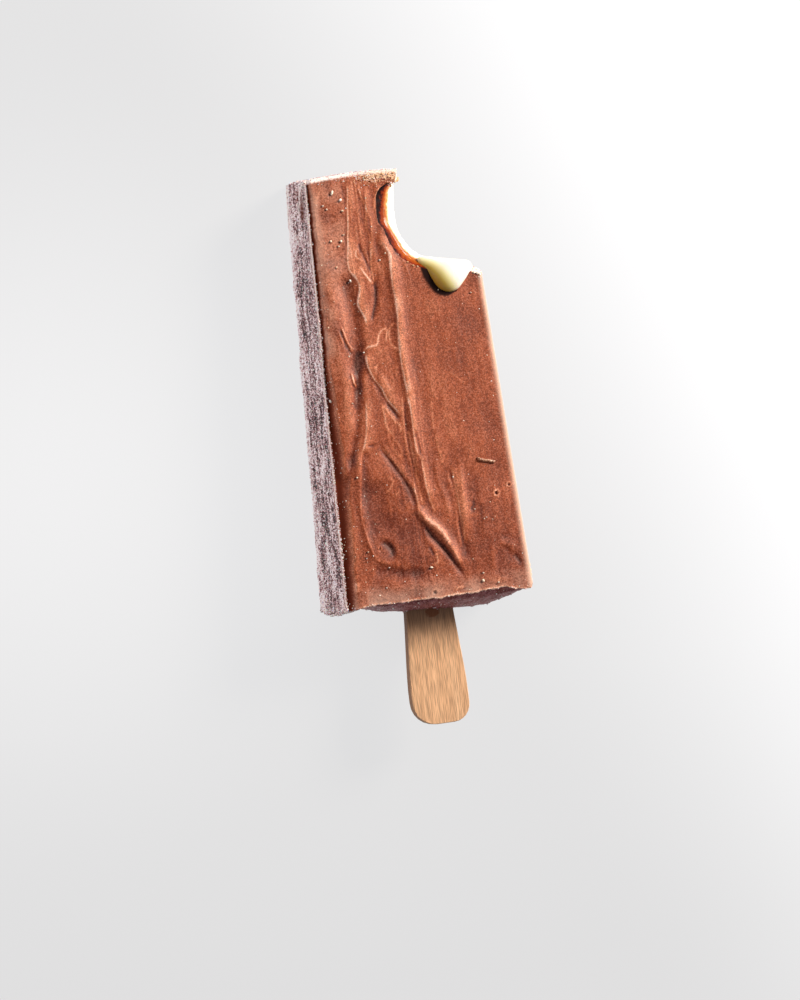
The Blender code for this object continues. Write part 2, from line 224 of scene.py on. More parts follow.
def edit_all(operator, times=1, **settings):
    """Runs an edit-mode operator on the whole of the active object, TIMES over."""
    bpy.ops.object.mode_set(mode='EDIT')
    bpy.ops.mesh.select_all(action='SELECT')
    for _ in range(times):
        operator(**settings)
    bpy.ops.object.mode_set(mode='OBJECT')


def apply_modifier(obj, kind, **settings):
    modifier = obj.modifiers.new(kind.lower(), kind)
    for key, value in settings.items():
        setattr(modifier, key, value)
    deselect()
    bpy.context.view_layer.objects.active = obj
    obj.select_set(True)
    bpy.ops.object.modifier_apply(modifier=modifier.name)


def lumps(points, size, seed, stretch=(1, 1, 1)):
    """Smooth noise from about -1 to 1 at each point, with lumps of about SIZE."""
    scaled = points / (np.array(stretch) * size) + seed * 7.3
    return np.array([noise.noise(Vector(p)) for p in scaled]) * 1.8


def ramp(low, high, value):
    """Smooth step from 0 at LOW to 1 at HIGH. With LOW the greater, it falls as VALUE grows."""
    t = np.clip((value - low) / (high - low), 0.0, 1.0)
    return t * t * (3 - 2 * t)


def smooth_line(points, steps):
    """Points along a Catmull-Rom curve, STEPS to each span."""
    ends = np.array([points[0], *points, points[-1]], float)
    line = []
    for before, a, b, after in zip(ends, ends[1:], ends[2:], ends[3:]):
        for t in np.arange(steps) / steps:
            line.append(0.5 * (2 * a + (b - before) * t + (2 * before - 5 * a + 4 * b - after) * t ** 2
                + (3 * a - before - 3 * b + after) * t ** 3))
    return np.array(line + [ends[-1]])


def measure_line(x, y, line):
    """Signed distance of each point to a line, positive on its left, and the run to its nearer end."""
    best = np.full(x.shape, 1e9)
    signed, run, done = np.zeros(x.shape), np.zeros(x.shape), 0.0
    for (ax, ay), (bx, by) in zip(line, line[1:]):
        dx, dy = bx - ax, by - ay
        length = math.hypot(dx, dy)
        t = np.clip(((x - ax) * dx + (y - ay) * dy) / length ** 2, 0.0, 1.0)
        ox, oy = x - ax - t * dx, y - ay - t * dy
        distance = np.hypot(ox, oy)
        near = distance < best
        best = np.where(near, distance, best)
        signed = np.where(near, np.copysign(distance, dx * oy - dy * ox), signed)
        run = np.where(near, done + t * length, run)
        done += length
    return signed, np.minimum(run, done - run)


def left_hollow(x, y):
    """How far the front has dropped by each point, in millimetres, on its way to the left crest."""
    inset = (x + bar_width(y) / 2) / MM
    reach = np.interp(y / MM, *np.array(HOLLOW_REACH).T)
    along_edge = np.stack([x * 0, y, x * 0], 1)
    ragged = ramp(*RAGGED_FROM, y / MM)
    waver = 0.13 * lumps(along_edge, 3.1 * MM, 15) + 0.14 * ragged * lumps(along_edge, 0.8 * MM, 16)
    drop = HOLLOW_DEPTH * (1 - RAGGED_SHARE * ragged) * ramp(reach * (1 + waver), HOLLOW_FLOOR, inset)
    return drop - CREST_RISE * ramp(CREST_WIDTH, RIM_LEFT[0][0], inset)


# Soft folds, in millimetres: height, half-width, and the line of the crest or furrow.
FOLDS = [
    (0.35, 2.2, [(-17.4, 32), (-17.0, 14), (-16.6, -4), (-16.6, -16)]),
    (-0.75, 1.9, [(-13.6, 28), (-13.0, 22), (-12.6, 16), (-12.8, 8), (-13.6, 2.8)]),
    (-0.40, 1.0, [(-12.5, 10.0), (-13.2, 5.0), (-13.7, 1.0), (-14.3, -2.5)]),
    (-0.55, 1.4, [(-13.6, 3.5), (-14.3, -1.8), (-15.6, -9.4), (-17.0, -13.5), (-18.4, -18)]),
    (0.50, 1.4, [(-4.4, 38), (-2.4, 32), (-2.0, 26), (-1.7, 18), (-2.1, 9), (-1.7, -1), (-1.9, -11),
        (-1.3, -20), (0.0, -27.5)]),
    (-0.25, 1.0, [(-7.0, 33), (-6.2, 27), (-6.9, 20), (-8.4, 15)]),
    (-0.20, 0.9, [(-10.8, 6), (-8.8, 0.8), (-6.4, -4), (-4.6, -7.5)]),
    (-0.26, 0.6, [(-10.8, -11.6), (-8.4, -16.6), (-6.0, -20.6), (-4.4, -24.4), (-3.6, -29)]),
    (-0.22, 2.2, [(-9.6, -11.4), (-7.4, -16.0), (-5.0, -20.0)]),
    (0.66, 1.0, [(-4.0, -27.0), (-1.9, -31.0), (0.1, -32.8), (1.9, -35.0), (3.2, -37.4), (4.2, -39.8),
        (5.4, -43.8)]),
    (-0.62, 0.62, [(-2.4, -32.0), (-1.4, -33.6), (-0.1, -35.7), (1.5, -37.5), (3.2, -39.7), (4.6, -42.4),
        (6.0, -45.6)]),
    (-0.28, 0.9, [(5.6, -19.0), (6.1, -24.3), (6.3, -30.0), (6.8, -36.5), (8.0, -42.0)]),
    (0.25, 1.2, [(7.9, -20.0), (8.2, -28.0), (8.6, -36.0)]),
    (-0.45, 3.4, [(-13.0, -20), (-12.6, -28), (-11.2, -34)]),
    (0.34, 1.0, [(-15.7, -13.3), (-16.7, -21.4), (-16.7, -26.9), (-16.4, -31.0), (-15.9, -35.2), (-14.1,
        -39.0), (-10.0, -40.4)]),
    (-0.34, 1.5, [(-16.2, -41.0), (-11.7, -42.2), (-7.4, -43.1), (-2.4, -43.3)]),
    (-0.30, 0.8, [(-15.9, -8.1), (-16.6, -13.1), (-18.2, -17.4), (-19.5, -21.1), (-20.3, -26.5)]),
    (0.20, 0.7, [(5.0, -20.6), (5.9, -25.1), (6.1, -29.3), (5.9, -33.5), (6.2, -39.6)]),
    (0.14, 0.6, [(8.4, -16.8), (8.5, -22.6), (8.1, -28.2), (7.3, -32.3), (7.2, -37.8)]),
    (0.16, 0.6, [(2.5, -16.2), (2.5, -22.0), (3.6, -26.3), (4.5, -32.3)]),
    (0.22, 0.9, [(13.8, -45.0), (13.6, -42.0), (14.6, -39.8), (16.4, -38.6), (18.4, -39.6), (20.3,
        -43.2)]),
    (0.20, 1.6, [(-15, -45.6), (-6, -46.2), (3, -46.0)]),
    (-0.30, 1.2, [(17.6, -39.8), (19.3, -41.6), (20.4, -44.2)]),
    (-0.22, 2.0, [(15.6, -36.6), (17.6, -38.6)]),
    (-0.50, 0.75, [(-14.0, -35.0), (-12.2, -35.4), (-11.0, -36.6), (-10.5, -38.2), (-10.9, -40.0)]),
    (-0.22, 0.8, [(-3.0, -29.5), (-3.1, -34.8), (-2.6, -38.8)]),
    (0.12, 1.2, [(12.6, -22), (12.8, -30), (12.4, -38)]),
    (0.16, 1.1, [(9.4, -45.4), (11.8, -46.4), (14.4, -46.8), (18.7, -47.4)]),
]
# Edges of films: height of the step up to the line's left, how far the film fades, the gain of its edge's
# painted highlight and shade, its own gain in tone, and the edge's line.
FILMS = [
    (0.16, 5.0, 0.34, 0.10, [(-10.1, 49.2), (-11.3, 39.2), (-12.5, 30.5), (-12.1, 28.0), (-10.7, 25.9)]),
    (0.22, 4.0, 0.40, 0.08, [(-12.1, 28.0), (-10.7, 25.9), (-10.5, 23.8), (-11.4, 20.5), (-10.3, 17.5),
        (-9.8, 14.9)]),
    (0.14, 2.6, 0.30, -0.06, [(-7.6, 48.6), (-7.1, 45.5), (-6.4, 42.7), (-6.9, 38.9), (-6.4, 36.0), (-6.8,
        31.1), (-6.9, 27.0), (-6.3, 24.1)]),
    (0.10, 2.0, 0.26, 0.04, [(-5.8, 47.5), (-6.3, 42.9), (-5.5, 39.9), (-5.8, 36.7), (-6.5, 30.8)]),
    (0.25, 3.4, 0.42, 0.06, [(-10.9, 9.4), (-11.1, 6.4), (-10.0, 3.0), (-8.4, 0.4), (-7.3, -2.4), (-5.0,
        -5.7), (-4.7, -7.1)]),
    (0.20, 3.0, 0.20, 0.05, [(-12.5, -1.0), (-12.8, -4.6), (-13.7, -10.4), (-15.3, -14.6)]),
    (0.22, 3.0, 0.26, 0.04, [(-10.4, -12.6), (-9.7, -14.1), (-7.7, -16.8), (-6.0, -19.9), (-4.9, -22.0),
        (-3.3, -25.0), (-3.0, -28.4)]),
    (0.14, 4.0, 0.22, 0.05, [(-5.0, 35.1), (-2.9, 33.6), (-2.4, 30.6), (-2.5, 24.8), (-2.2, 19.5), (-2.6,
        13), (-2.8, 8), (-2.6, 2.0), (-2.2, -2.0)]),
    (0.12, 4.0, 0.30, 0.04, [(-2.5, -1.7), (-2.0, -6.2), (-2.0, -14.3), (-1.1, -17.1), (-0.7, -23.8),
        (0.0, -27.2), (1.0, -30.4)]),
    (0.14, 4.0, 0.30, 0.06, [(6.2, -19.0), (6.6, -24.3), (6.7, -28.1), (7.0, -34.1), (7.4, -38.5)]),
    (0.08, 3.0, 0.12, 0.04, [(3.4, -10.5), (3.5, -14.7), (4.4, -19.8)]),
    (-0.20, 4.2, 0.12, -0.06, [(-14.8, -12.6), (-16.2, -21.1), (-17.1, -28.5), (-16.5, -32.5), (-15.9,
        -35.8), (-15.0, -38.3), (-13.9, -39.6), (-10.4, -40.5)]),
    (0.10, 1.6, 0.25, 0.08, [(-1.2, -37.9), (-0.1, -40.6), (-0.7, -41.4), (-2.3, -41.8)]),
]
# Thin dried rims and cracks: height, half-width, gain in tone (painted highlights on rims, painted shade in
# cracks and furrows), and line.
RIMS = [
    (0.05, 0.24, 0.30, [(-5.0, 34.9), (-3.5, 33.7), (-2.4, 32.3), (-1.9, 31.2), (-2.2, 29.3),
        (-2.5, 27.4)]),
    (0.04, 0.22, 0.26, [(-9.6, 33.8), (-10.2, 31.8), (-8.5, 30.3)]),
    (-0.10, 0.30, -0.28, [(-9.3, 35.2), (-8.6, 32.4), (-7.7, 29.9), (-7.0, 27.6)]),
    (0.04, 0.22, 0.24, [(-9.2, 28.2), (-7.8, 26.2), (-6.4, 24.6)]),
    (0.04, 0.22, 0.22, [(-9.9, 29.6), (-8.4, 27.0), (-6.8, 24.6)]),
    (0.14, 0.26, 0.40, [(-16.1, 15.8), (-15.4, 13.2), (-14.8, 11.5), (-13.6, 9.5)]),
    (-0.16, 0.34, -0.22, [(-16.5, 15.4), (-15.9, 12.6), (-15.2, 10.6), (-14.2, 8.6)]),
    (0.08, 0.24, 0.30, [(-17.1, 14.8), (-16.5, 13.0), (-15.8, 11.1)]),
    (0.16, 0.25, 0.50, [(-15.1, 4.9), (-14.7, 2.5), (-14.2, 1.5), (-13.6, 1.1)]),
    (-0.14, 0.34, -0.22, [(-15.5, 4.9), (-15.1, 2.3), (-14.5, 0.9)]),
    (-0.16, 0.34, -0.34, [(-6.4, 25.6), (-6.6, 21.3), (-7.6, 18.5), (-8.4, 16.2)]),
    (0.04, 0.24, 0.32, [(-10.9, 9.2), (-10.4, 10.2), (-8.9, 10.4), (-7.8, 10.8), (-7.1, 13.0), (-5.7, 14.2),
                        (-5.0, 13.7), (-5.4, 12.2), (-5.7, 10.8)]),
    (0.04, 0.24, 0.32, [(-2.6, 15.3), (-3.7, 14.9), (-4.6, 13.3), (-4.5, 10.6), (-3.8, 9.7), (-2.7, 9.0)]),
    (0.03, 0.22, 0.24, [(-9.2, 3.8), (-9.0, 5.0), (-8.6, 5.8), (-7.8, 6.3)]),
    (0.02, 0.22, 0.14, [(-8.8, 8.2), (-7.4, 8.8), (-6.4, 9.6)]),
    (0.05, 0.24, 0.26, [(-8.7, -2.9), (-8.4, -6.0), (-8.2, -8.8), (-6.8, -10.7)]),
    (0.05, 0.24, 0.26, [(-8.4, -3.4), (-6.5, -6.7), (-4.9, -8.6), (-4.8, -9.8), (-5.6, -10.3)]),
    (-0.14, 0.30, -0.22, [(-7.6, -3.0), (-5.6, -6.0), (-4.7, -7.6)]),
    (0.03, 0.22, 0.18, [(-7.4, -11.7), (-6.2, -12.4), (-5.3, -14.8), (-5.9, -15.9), (-7.1, -14.0),
        (-7.4, -11.9)]),
    (-0.12, 0.30, -0.30, [(-13.8, -12.5), (-13.0, -12.8), (-12.2, -12.6), (-11.6, -13.0)]),
    (0.08, 0.28, 0.22, [(-3.4, -1.6), (-3.8, -6.0), (-4.0, -12.3), (-3.4, -18.6), (-3.4, -24.0),
        (-2.9, -29.0)]),
    (-0.10, 0.30, -0.14, [(-3.0, -3.0), (-3.4, -8.0), (-3.3, -14.0), (-2.8, -20.0)]),
    (-0.12, 0.30, -0.30, [(-1.4, -10.0), (-1.2, -13.0), (-0.8, -16.6)]),
    (0.03, 0.22, 0.26, [(-9.7, -19.7), (-8.6, -20.8), (-8.4, -21.6), (-9.2, -22.9), (-10.6, -24.2)]),
    (0.03, 0.22, 0.20, [(-6.7, -22.9), (-7.6, -24.2), (-8.4, -25.2)]),
    (0.03, 0.22, 0.12, [(-8.4, -27.0), (-7.4, -28.7), (-6.2, -28.6), (-5.3, -27.5), (-6.1, -26.3)]),
    (0.03, 0.22, 0.14, [(8.7, 2.9), (10.5, 1.6), (12.7, -0.7)]),
    (0.03, 0.22, 0.18, [(3.6, -3.2), (3.4, -7.2), (3.2, -11.2)]),
    (-0.14, 0.34, -0.25, [(18.9, -41.5), (20.1, -42.8), (20.5, -44.5)]),
    (-0.14, 0.30, -0.40, [(10.6, -27.4), (10.8, -28.8), (9.9, -29.8), (10.8, -30.4)]),
    (0.03, 0.22, 0.18, [(9.4, -29.6), (9.8, -31.2), (10.9, -31.6), (11.6, -30.6)]),
    (-0.10, 0.30, -0.22, [(12.5, -28.8), (12.3, -31.4), (12.2, -33.4)]),
    (-0.16, 0.30, -0.40, [(-1.8, -37.0), (-0.9, -39.0), (-0.5, -40.0)]),
    (-0.16, 0.32, -0.40, [(-17.0, -48.4), (-15.6, -48.8), (-14.6, -48.5), (-13.0, -49.0)]),
    (-0.16, 0.32, -0.40, [(3.6, -48.1), (5.0, -48.4), (7.4, -48.2)]),
    (-0.04, 0.34, -0.22, [(-2.0, -32.6), (-1.2, -34.0), (0.1, -36.0), (1.6, -37.8), (3.3, -40.0),
        (4.7, -43.0)]),
    (-0.04, 0.40, -0.26, [(-13.2, -35.4), (-11.6, -36.0), (-10.7, -37.4), (-10.6, -39.2)]),
    (0.04, 0.55, 0.20, [(-2.2, -30.2), (0.3, -32.2), (2.2, -34.6), (3.6, -37.6)]),
    (-0.02, 0.80, -0.14, [(-11.8, -42.0), (-7.7, -43.0), (-3.4, -43.3)]),
    (0.05, 0.24, 0.30, [(-3.3, -9.7), (-2.7, -18.0), (-2.3, -23.6), (-1.9, -28.0)]),
    (0.04, 0.26, 0.22, [(5.2, -20.6), (6.1, -25.1), (6.3, -29.3), (6.1, -33.5), (6.3, -38.6)]),
    (0.0, 1.1, -0.20, [(-12.6, 10.0), (-13.3, 4.5), (-13.8, 0.0), (-14.6, -4.5)]),
    (-0.12, 0.30, -0.55, [(-1.9, 34.9), (-1.2, 33.5)]),
    (-0.12, 0.32, -0.60, [(-0.5, 32.6), (0.0, 31.6), (0.6, 31.3)]),
    (-0.12, 0.30, -0.55, [(1.1, 30.5), (1.9, 30.1), (2.3, 29.8)]),
    (-0.10, 0.26, -0.45, [(-1.5, 31.8), (-1.1, 31.2)]),
    (0.05, 0.9, 0.22, [(-20.3, -43.2), (-20.3, -46.4)]),
    (0.10, 0.45, 0.34, [(3.0, -47.7), (4.4, -47.9), (5.8, -47.4)]),
    (0.10, 0.36, 0.34, [(6.6, -47.2), (7.4, -47.4)]),
    (0.06, 0.24, 0.30, [(13.6, -46.6), (13.9, -47.2), (14.6, -47.1), (14.6, -46.6), (14.0, -46.4)]),
    (0.05, 0.24, 0.26, [(-1.8, 47.9), (-3.0, 46.4), (-3.9, 44.4), (-4.2, 42.0)]),
]
# Round pits where bubbles burst, in millimetres: centre and radius.
# Their tone is painted darker inside as shade and lighter on the rim as a highlight.
PITS = [(16.7, -26.8, 0.42), (20.1, -25.1, 0.32), (-1.8, -48.3, 0.48), (-13.6, -36.6, 0.22)]
# Crumbs that froze on to the front, each with a shallow dent at its lower left that is painted darker as
# its shadow.
CREAM_CRUMBS = [
    # x, y, length, width in millimetres, and turn in degrees
    (-14.1, 47.0, 1.30, 0.50, 70), (-12.4, 45.2, 0.75, 0.55, 60), (-12.2, 42.6, 0.60, 0.40, 150),
    (-12.7, 36.9, 0.40, 0.32, 20), (-15.9, 35.6, 0.55, 0.45, 80), (-13.4, 35.4, 0.65, 0.50, 70),
    (-14.3, 34.4, 0.42, 0.36, 0), (-15.4, 29.4, 0.45, 0.34, 40), (-12.7, 25.9, 0.75, 0.40, 110),
    (-4.7, 30.5, 0.45, 0.42, 0), (-16.8, 44.1, 0.42, 0.30, 140), (-16.0, 43.2, 0.45, 0.32, 130),
    (-11.9, 9.2, 0.42, 0.36, 20), (-15.3, -2.5, 0.36, 0.30, 0), (-17.2, -19.7, 0.40, 0.32, 120),
    (-16.9, -37.1, 0.36, 0.30, 0), (-17.3, -38.4, 0.30, 0.26, 0), (-12.1, -41.5, 0.34, 0.28, 0),
    (-1.9, -42.3, 0.80, 0.45, 160), (10.5, -45.0, 0.40, 0.32, 0), (10.4, -46.9, 0.75, 0.50, 120),
    (14.2, -47.9, 0.40, 0.30, 20), (16.9, 21.0, 0.36, 0.32, 0), (-13.5, -45.6, 0.34, 0.26, 0),
    (19.4, 25.9, 0.80, 0.5, 10), (20.4, 25.2, 0.6, 0.45, 60), (18.6, 26.2, 0.55, 0.5, 0),
]
# The drop's lower left edge, beside which the drop's shadow is painted near black on the chocolate.
DRIP_SIDE = [(5.2, 30.0), (6.2, 28.0), (7.2, 26.5), (8.3, 24.4), (9.5, 22.7), (11.3, 21.6), (13.4, 21.8)]
PIT_DEPTH, PIT_RIM, PIT_SHADE, PIT_SHINE = 0.5, 0.12, 0.9, 0.30
DENT_DEPTH, CRUMB_SHADOW = 0.15, 0.34
FOLD_LEAN = 0.30
FOLD_FADE = 3.5
FILM_EDGE = 0.22
DEEPEST_FOLD = -0.85
# A film's edge has a painted highlight on top and painted shade below: half-width, and how far each lies
# from it.
EDGE_LINE = 0.19
EDGE_SHINE_AT, EDGE_SHADE_AT = 0.10, 0.38
EDGE_SHADE = 0.42
LINE_FADE = 2.0


def front_relief(points):
    """Height over the plain taper, in millimetres, and the gain in tone of films, rims and cracks."""
    x, y = points[:, 0] / MM, points[:, 1] / MM
    height, gain = np.zeros(len(points)), np.zeros(len(points))
    for rise, half_width, line in FOLDS:
        distance, run = measure_line(x, y, smooth_line(line, 3))
        leaning = half_width * (1 + math.copysign(FOLD_LEAN, rise) * np.tanh(distance / half_width))
        height += rise * np.exp(-(distance / leaning) ** 2) * ramp(-0.5, FOLD_FADE, run)
    for rise, fade, edge_gain, film_gain, line in FILMS:
        distance, run = measure_line(x, y, smooth_line(line, 3))
        taper = ramp(0.0, LINE_FADE, run)
        film = ramp(-FILM_EDGE, FILM_EDGE, distance) * ramp(fade, 0.0, distance) * taper
        height += rise * film
        shine = np.exp(-((distance - EDGE_SHINE_AT) / EDGE_LINE) ** 2)
        shade = EDGE_SHADE * np.exp(-((distance + EDGE_SHADE_AT) / (1.3 * EDGE_LINE)) ** 2)
        gain += film_gain * film + edge_gain * (shine - shade) * taper
    for rise, half_width, line_gain, line in RIMS:
        distance, run = measure_line(x, y, smooth_line(line, 3))
        stroke = np.exp(-(distance / half_width) ** 2) * ramp(0.0, LINE_FADE / 2, run)
        height += rise * stroke
        gain += line_gain * stroke
    for centre_x, centre_y, radius in PITS:
        away = np.hypot(x - centre_x, y - centre_y) / radius
        height += PIT_RIM * np.exp(-((away - 1.5) / 0.5) ** 2) - PIT_DEPTH * ramp(1.2, 0.5, away)
        gain += PIT_SHINE * np.exp(-((away - 1.6) / 0.5) ** 2) - PIT_SHADE * ramp(1.2, 0.6, away)
    for centre_x, centre_y, length, width, _ in CREAM_CRUMBS:
        away = np.hypot(x - centre_x + 0.4 * length, y - centre_y + 0.4 * length) / (0.7 * width)
        dent_and_shadow = np.exp(-away ** 2)
        height -= DENT_DEPTH * dent_and_shadow
        gain -= CRUMB_SHADOW * dent_and_shadow
    broad = lumps(points, 8.0 * MM, 1)
    ripples = lumps(points, 1.5 * MM, 2, (1, 4, 1))
    height += 0.09 * broad + 0.030 * ripples + 0.012 * lumps(points, 0.7 * MM, 3)
    # Skin wrinkles, narrow ridges that run with the dip, in patches left of the smooth right half.
    wrinkle = ramp(0.30, 0.0, np.abs(lumps(points, 1.9 * MM, 5, (1, 5, 1))))
    wrinkle = wrinkle * ramp(-0.1, 0.6, lumps(points, 6.0 * MM, 6)) * (1 - 0.75 * ramp(2.0, 5.0, x))
    height += 0.07 * wrinkle
    gain += 0.05 * wrinkle
    # Fine strokes down the raised middle film, drawn as the dip ran off.
    strokes = ramp(-13.0, -11.0, x) * ramp(-5.0, -6.5, x) * ramp(18.0, 30.0, y)
    strokes = strokes + 0.6 * ramp(-9.0, -6.0, x) * ramp(2.0, 0.0, x) * ramp(12.0, 4.0, y)
    fine = strokes * lumps(points, 0.42 * MM, 4, (1, 26, 1))
    return height + 0.03 * fine, gain + 0.11 * fine + 0.03 * ripples


def blurred(table, cells):
    """A table smoothed over about CELLS cells in both directions."""
    spread = np.arange(-3 * cells, 3 * cells + 1)
    weights = np.exp(-0.5 * (spread / cells) ** 2)
    weights /= weights.sum()
    for _ in range(2):
        padded = np.pad(table, ((3 * cells, 3 * cells), (0, 0)), mode='edge')
        table = sum(w * padded[i:i + len(table)] for i, w in enumerate(weights)).T
    return table


# A grid for the front, pulled down ring by ring into the rim, the walls and the foot, then closed.
deselect()
bpy.ops.mesh.primitive_grid_add(x_subdivisions=GRID_ACROSS, y_subdivisions=GRID_ALONG, size=2)
coat = bpy.context.object
coat.name = "frosted_chocolate_coat"
rim_rings = len(RIM_LEFT) - 1
bpy.ops.object.mode_set(mode='EDIT')
bpy.context.tool_settings.mesh_select_mode = (False, True, False)
bpy.ops.mesh.select_all(action='DESELECT')
bpy.ops.mesh.select_non_manifold()
for _ in range(rim_rings + WALL_RINGS + FOOT_RINGS):
    bpy.ops.mesh.extrude_edges_move(TRANSFORM_OT_translate={"value": (0, 0, -1)})
bpy.ops.mesh.edge_face_add()
bpy.ops.object.mode_set(mode='OBJECT')

raw = points_of(coat)
ring = np.rint(-raw[:, 2]).astype(int)
across = raw[:, 0] + LEFT_CROWDING * (raw[:, 0] ** 2 - 1) / 2
along = raw[:, 1]
at_left, at_right = across < -0.9999, across > 0.9999
at_stick, at_tip = along < -0.9999, along > 0.9999
plain_y = along * BAR_LENGTH / 2
plain_x = across * bar_width(plain_y) / 2
flat = np.stack([plain_x, plain_y, plain_x * 0], 1)
rim_ring = np.minimum(ring, rim_rings)
insets, drops = {}, {}
for side, profile in (("left", RIM_LEFT), ("right", RIM_RIGHT), ("tip", RIM_TIP), ("stick", RIM_LIP)):
    insets[side], drops[side] = np.array(profile)[rim_ring].T * MM
wander = lumps(flat, 3.5 * MM, 11)
nicks = lumps(flat, 0.9 * MM, 12)
insets["right"] *= 1 + 0.10 * wander
insets["tip"] *= 1 + 0.14 * wander + 0.10 * nicks
lip_share = ramp(*LIP_START, plain_x / MM)
lip = np.interp(plain_x / MM, *np.array(LIP_LINE).T) * MM
lip_notches = (0.16 * nicks + 0.14 * lumps(flat, 0.45 * MM, 14)) * MM
insets["stick"] = insets["left"] + lip_share * (insets["stick"] - insets["left"])
insets["stick"] += (lip + lip_notches) * ramp(6, 3, ring) * lip_share
drops["stick"] = drops["left"] + lip_share * (drops["stick"] - drops["left"])

x_here = plain_x + np.where(across < 0, insets["left"], -insets["right"]) * np.abs(across)
y_here = plain_y + np.where(along < 0, insets["stick"], -insets["tip"]) * np.abs(along)
hollow = left_hollow(x_here, y_here)
top = bar_height(plain_y) - hollow * MM
down = np.where(at_stick, drops["stick"], np.where(at_tip, drops["tip"], np.where(at_left, drops["left"],
    drops["right"])))
down = np.where(at_stick & at_left, drops["left"], down)
wall_share = np.clip((ring - rim_rings) / WALL_RINGS, 0, 1)
foot_share = np.clip((ring - rim_rings - WALL_RINGS) / FOOT_RINGS, 0, 1)
z_here = np.where(ring <= rim_rings, top - down, FOOT_DROP + (top - down - FOOT_DROP) * (1 - wall_share))
z_here = np.where(foot_share > 0, FOOT_DROP * np.sqrt(1 - foot_share ** 2), z_here)
foot_in = FOOT_INSET * (1 - np.sqrt(1 - foot_share ** 2 * 0.99))
x_here -= foot_in * across
y_here -= foot_in * along
placed = np.stack([x_here, y_here, z_here], 1)

# The stick end bulges; the tip is crowned, and its draft leaves the back longer than the front.
full_height = bar_height(plain_y)
depth_share = np.clip((full_height - z_here) / full_height, 0, 1)
bulge = np.interp(plain_x / MM, *np.array(BULGE_LINE).T) * MM
placed[:, 1] -= at_stick * bulge * np.sin(math.pi * np.clip(depth_share * 1.05 - 0.05, 0, 1)) ** 0.7
crown = TIP_CROWN * (1 - (2 * plain_x / WIDTH_AT_TIP) ** 2)
placed[:, 1] += (crown + TIP_DRAFT * depth_share ** 0.7 * (1 - foot_share)) * ramp(0.80, 1.0, along)

# Folds on the front fade at its edges. Walls are streaked along the bar and grainy.
on_front = ring == 0
edge_room = np.minimum(bar_width(plain_y) / 2 - np.abs(x_here), BAR_LENGTH / 2 - np.abs(y_here))
fold_share = ramp(0.5 * MM, 2.6 * MM, edge_room)
relief, gain = np.zeros(len(placed)), np.zeros(len(placed))
relief[on_front], gain[on_front] = front_relief(placed[on_front])
placed[:, 2] += np.maximum(relief, DEEPEST_FOLD) * fold_share * MM
sway = np.stack([placed[:, 0] * 0, placed[:, 0] * 0, lumps(placed, 7.0 * MM, 24) * 1.3 * MM], 1)
streaks = lumps(placed + sway, 1.9 * MM, 21, (1, 7, 1))
streaks += 0.6 * lumps(placed + sway, 0.8 * MM, 22, (1, 4, 1))
grains = lumps(placed, 0.6 * MM, 23)
# Close to the tip the coat curled away from the left wall: a white edge, a bare strip and an open slit.
CURL_WIDTH = 0.5
SLIT_DEPTH, SLIT_WIDTH = 8.4, 0.8
STRIP_DEPTH, STRIP_WIDTH = 5.2, 1.5
wall_depth = (full_height - placed[:, 2]) / MM
wall_y = placed[:, 1] / MM
curl_distance, _ = measure_line(wall_depth, wall_y, smooth_line(CURL_EDGE, 3))
curl = at_left * np.exp(-(curl_distance / CURL_WIDTH) ** 2)
slit = at_left * np.exp(-((wall_depth - SLIT_DEPTH) / SLIT_WIDTH) ** 2)
slit = slit * ramp(46.0, 46.8, wall_y) * ramp(49.4, 48.6, wall_y)
bare = at_left * np.exp(-((wall_depth - STRIP_DEPTH) / STRIP_WIDTH) ** 2)
bare = bare * ramp(40.5, 43.5, wall_y) * ramp(49.4, 48.2, wall_y)
placed[:, 0] += (0.8 * slit + 0.3 * bare - 0.2 * curl) * MM
rough = (0.15 * streaks + 0.09 * grains) * MM * ramp(rim_rings - 2, rim_rings + 2, ring) * (1 - foot_share)
placed[:, 0] += (at_left - at_right * 0.6) * rough
placed[:, 1] += (at_stick * 1.0 - at_tip) * rough
move_points(coat, placed)
bpy.ops.object.shade_smooth()

# Where the finish changes, noted for every vertex before the bite is cut.
DETAIL_CELLS = 6
table = np.zeros((GRID_ALONG + 1, GRID_ACROSS + 1))
table.flat[:] = relief[:table.size]
detail = np.zeros(len(placed))
detail[:table.size] = (table - blurred(table, DETAIL_CELLS)).ravel()
mid_x, mid_y, mid_z = placed.T / MM
half_here = bar_width(placed[:, 1]) / 2 / MM
from_edge = mid_x + half_here
from_right = half_here - mid_x
# The right half is a little deeper in tone than the middle film, and so is the front's lower third.
wide_tone = -0.05 * ramp(4.0, 14.0, mid_x) - 0.05 * ramp(-8.0, -42.0, mid_y)
wide_tone -= 0.09 * ramp(-19.0, -15.0, mid_x) * ramp(1.0, -5.0, mid_x) * ramp(-10.0, -30.0, mid_y)
near_lip = ramp(0.45, 0.15, mid_y + 50.0 - lip / MM) * (ring == 0)
lip_edge = np.where(at_stick, ring <= 2, near_lip) * lip_share
crest = ramp(0.34, 0.14, from_edge) * ramp(rim_rings - 2, rim_rings - 4, ring) * (mid_y < 49.5)
depth_here = HOLLOW_DEPTH * (1 - RAGGED_SHARE * ramp(*RAGGED_FROM, mid_y))
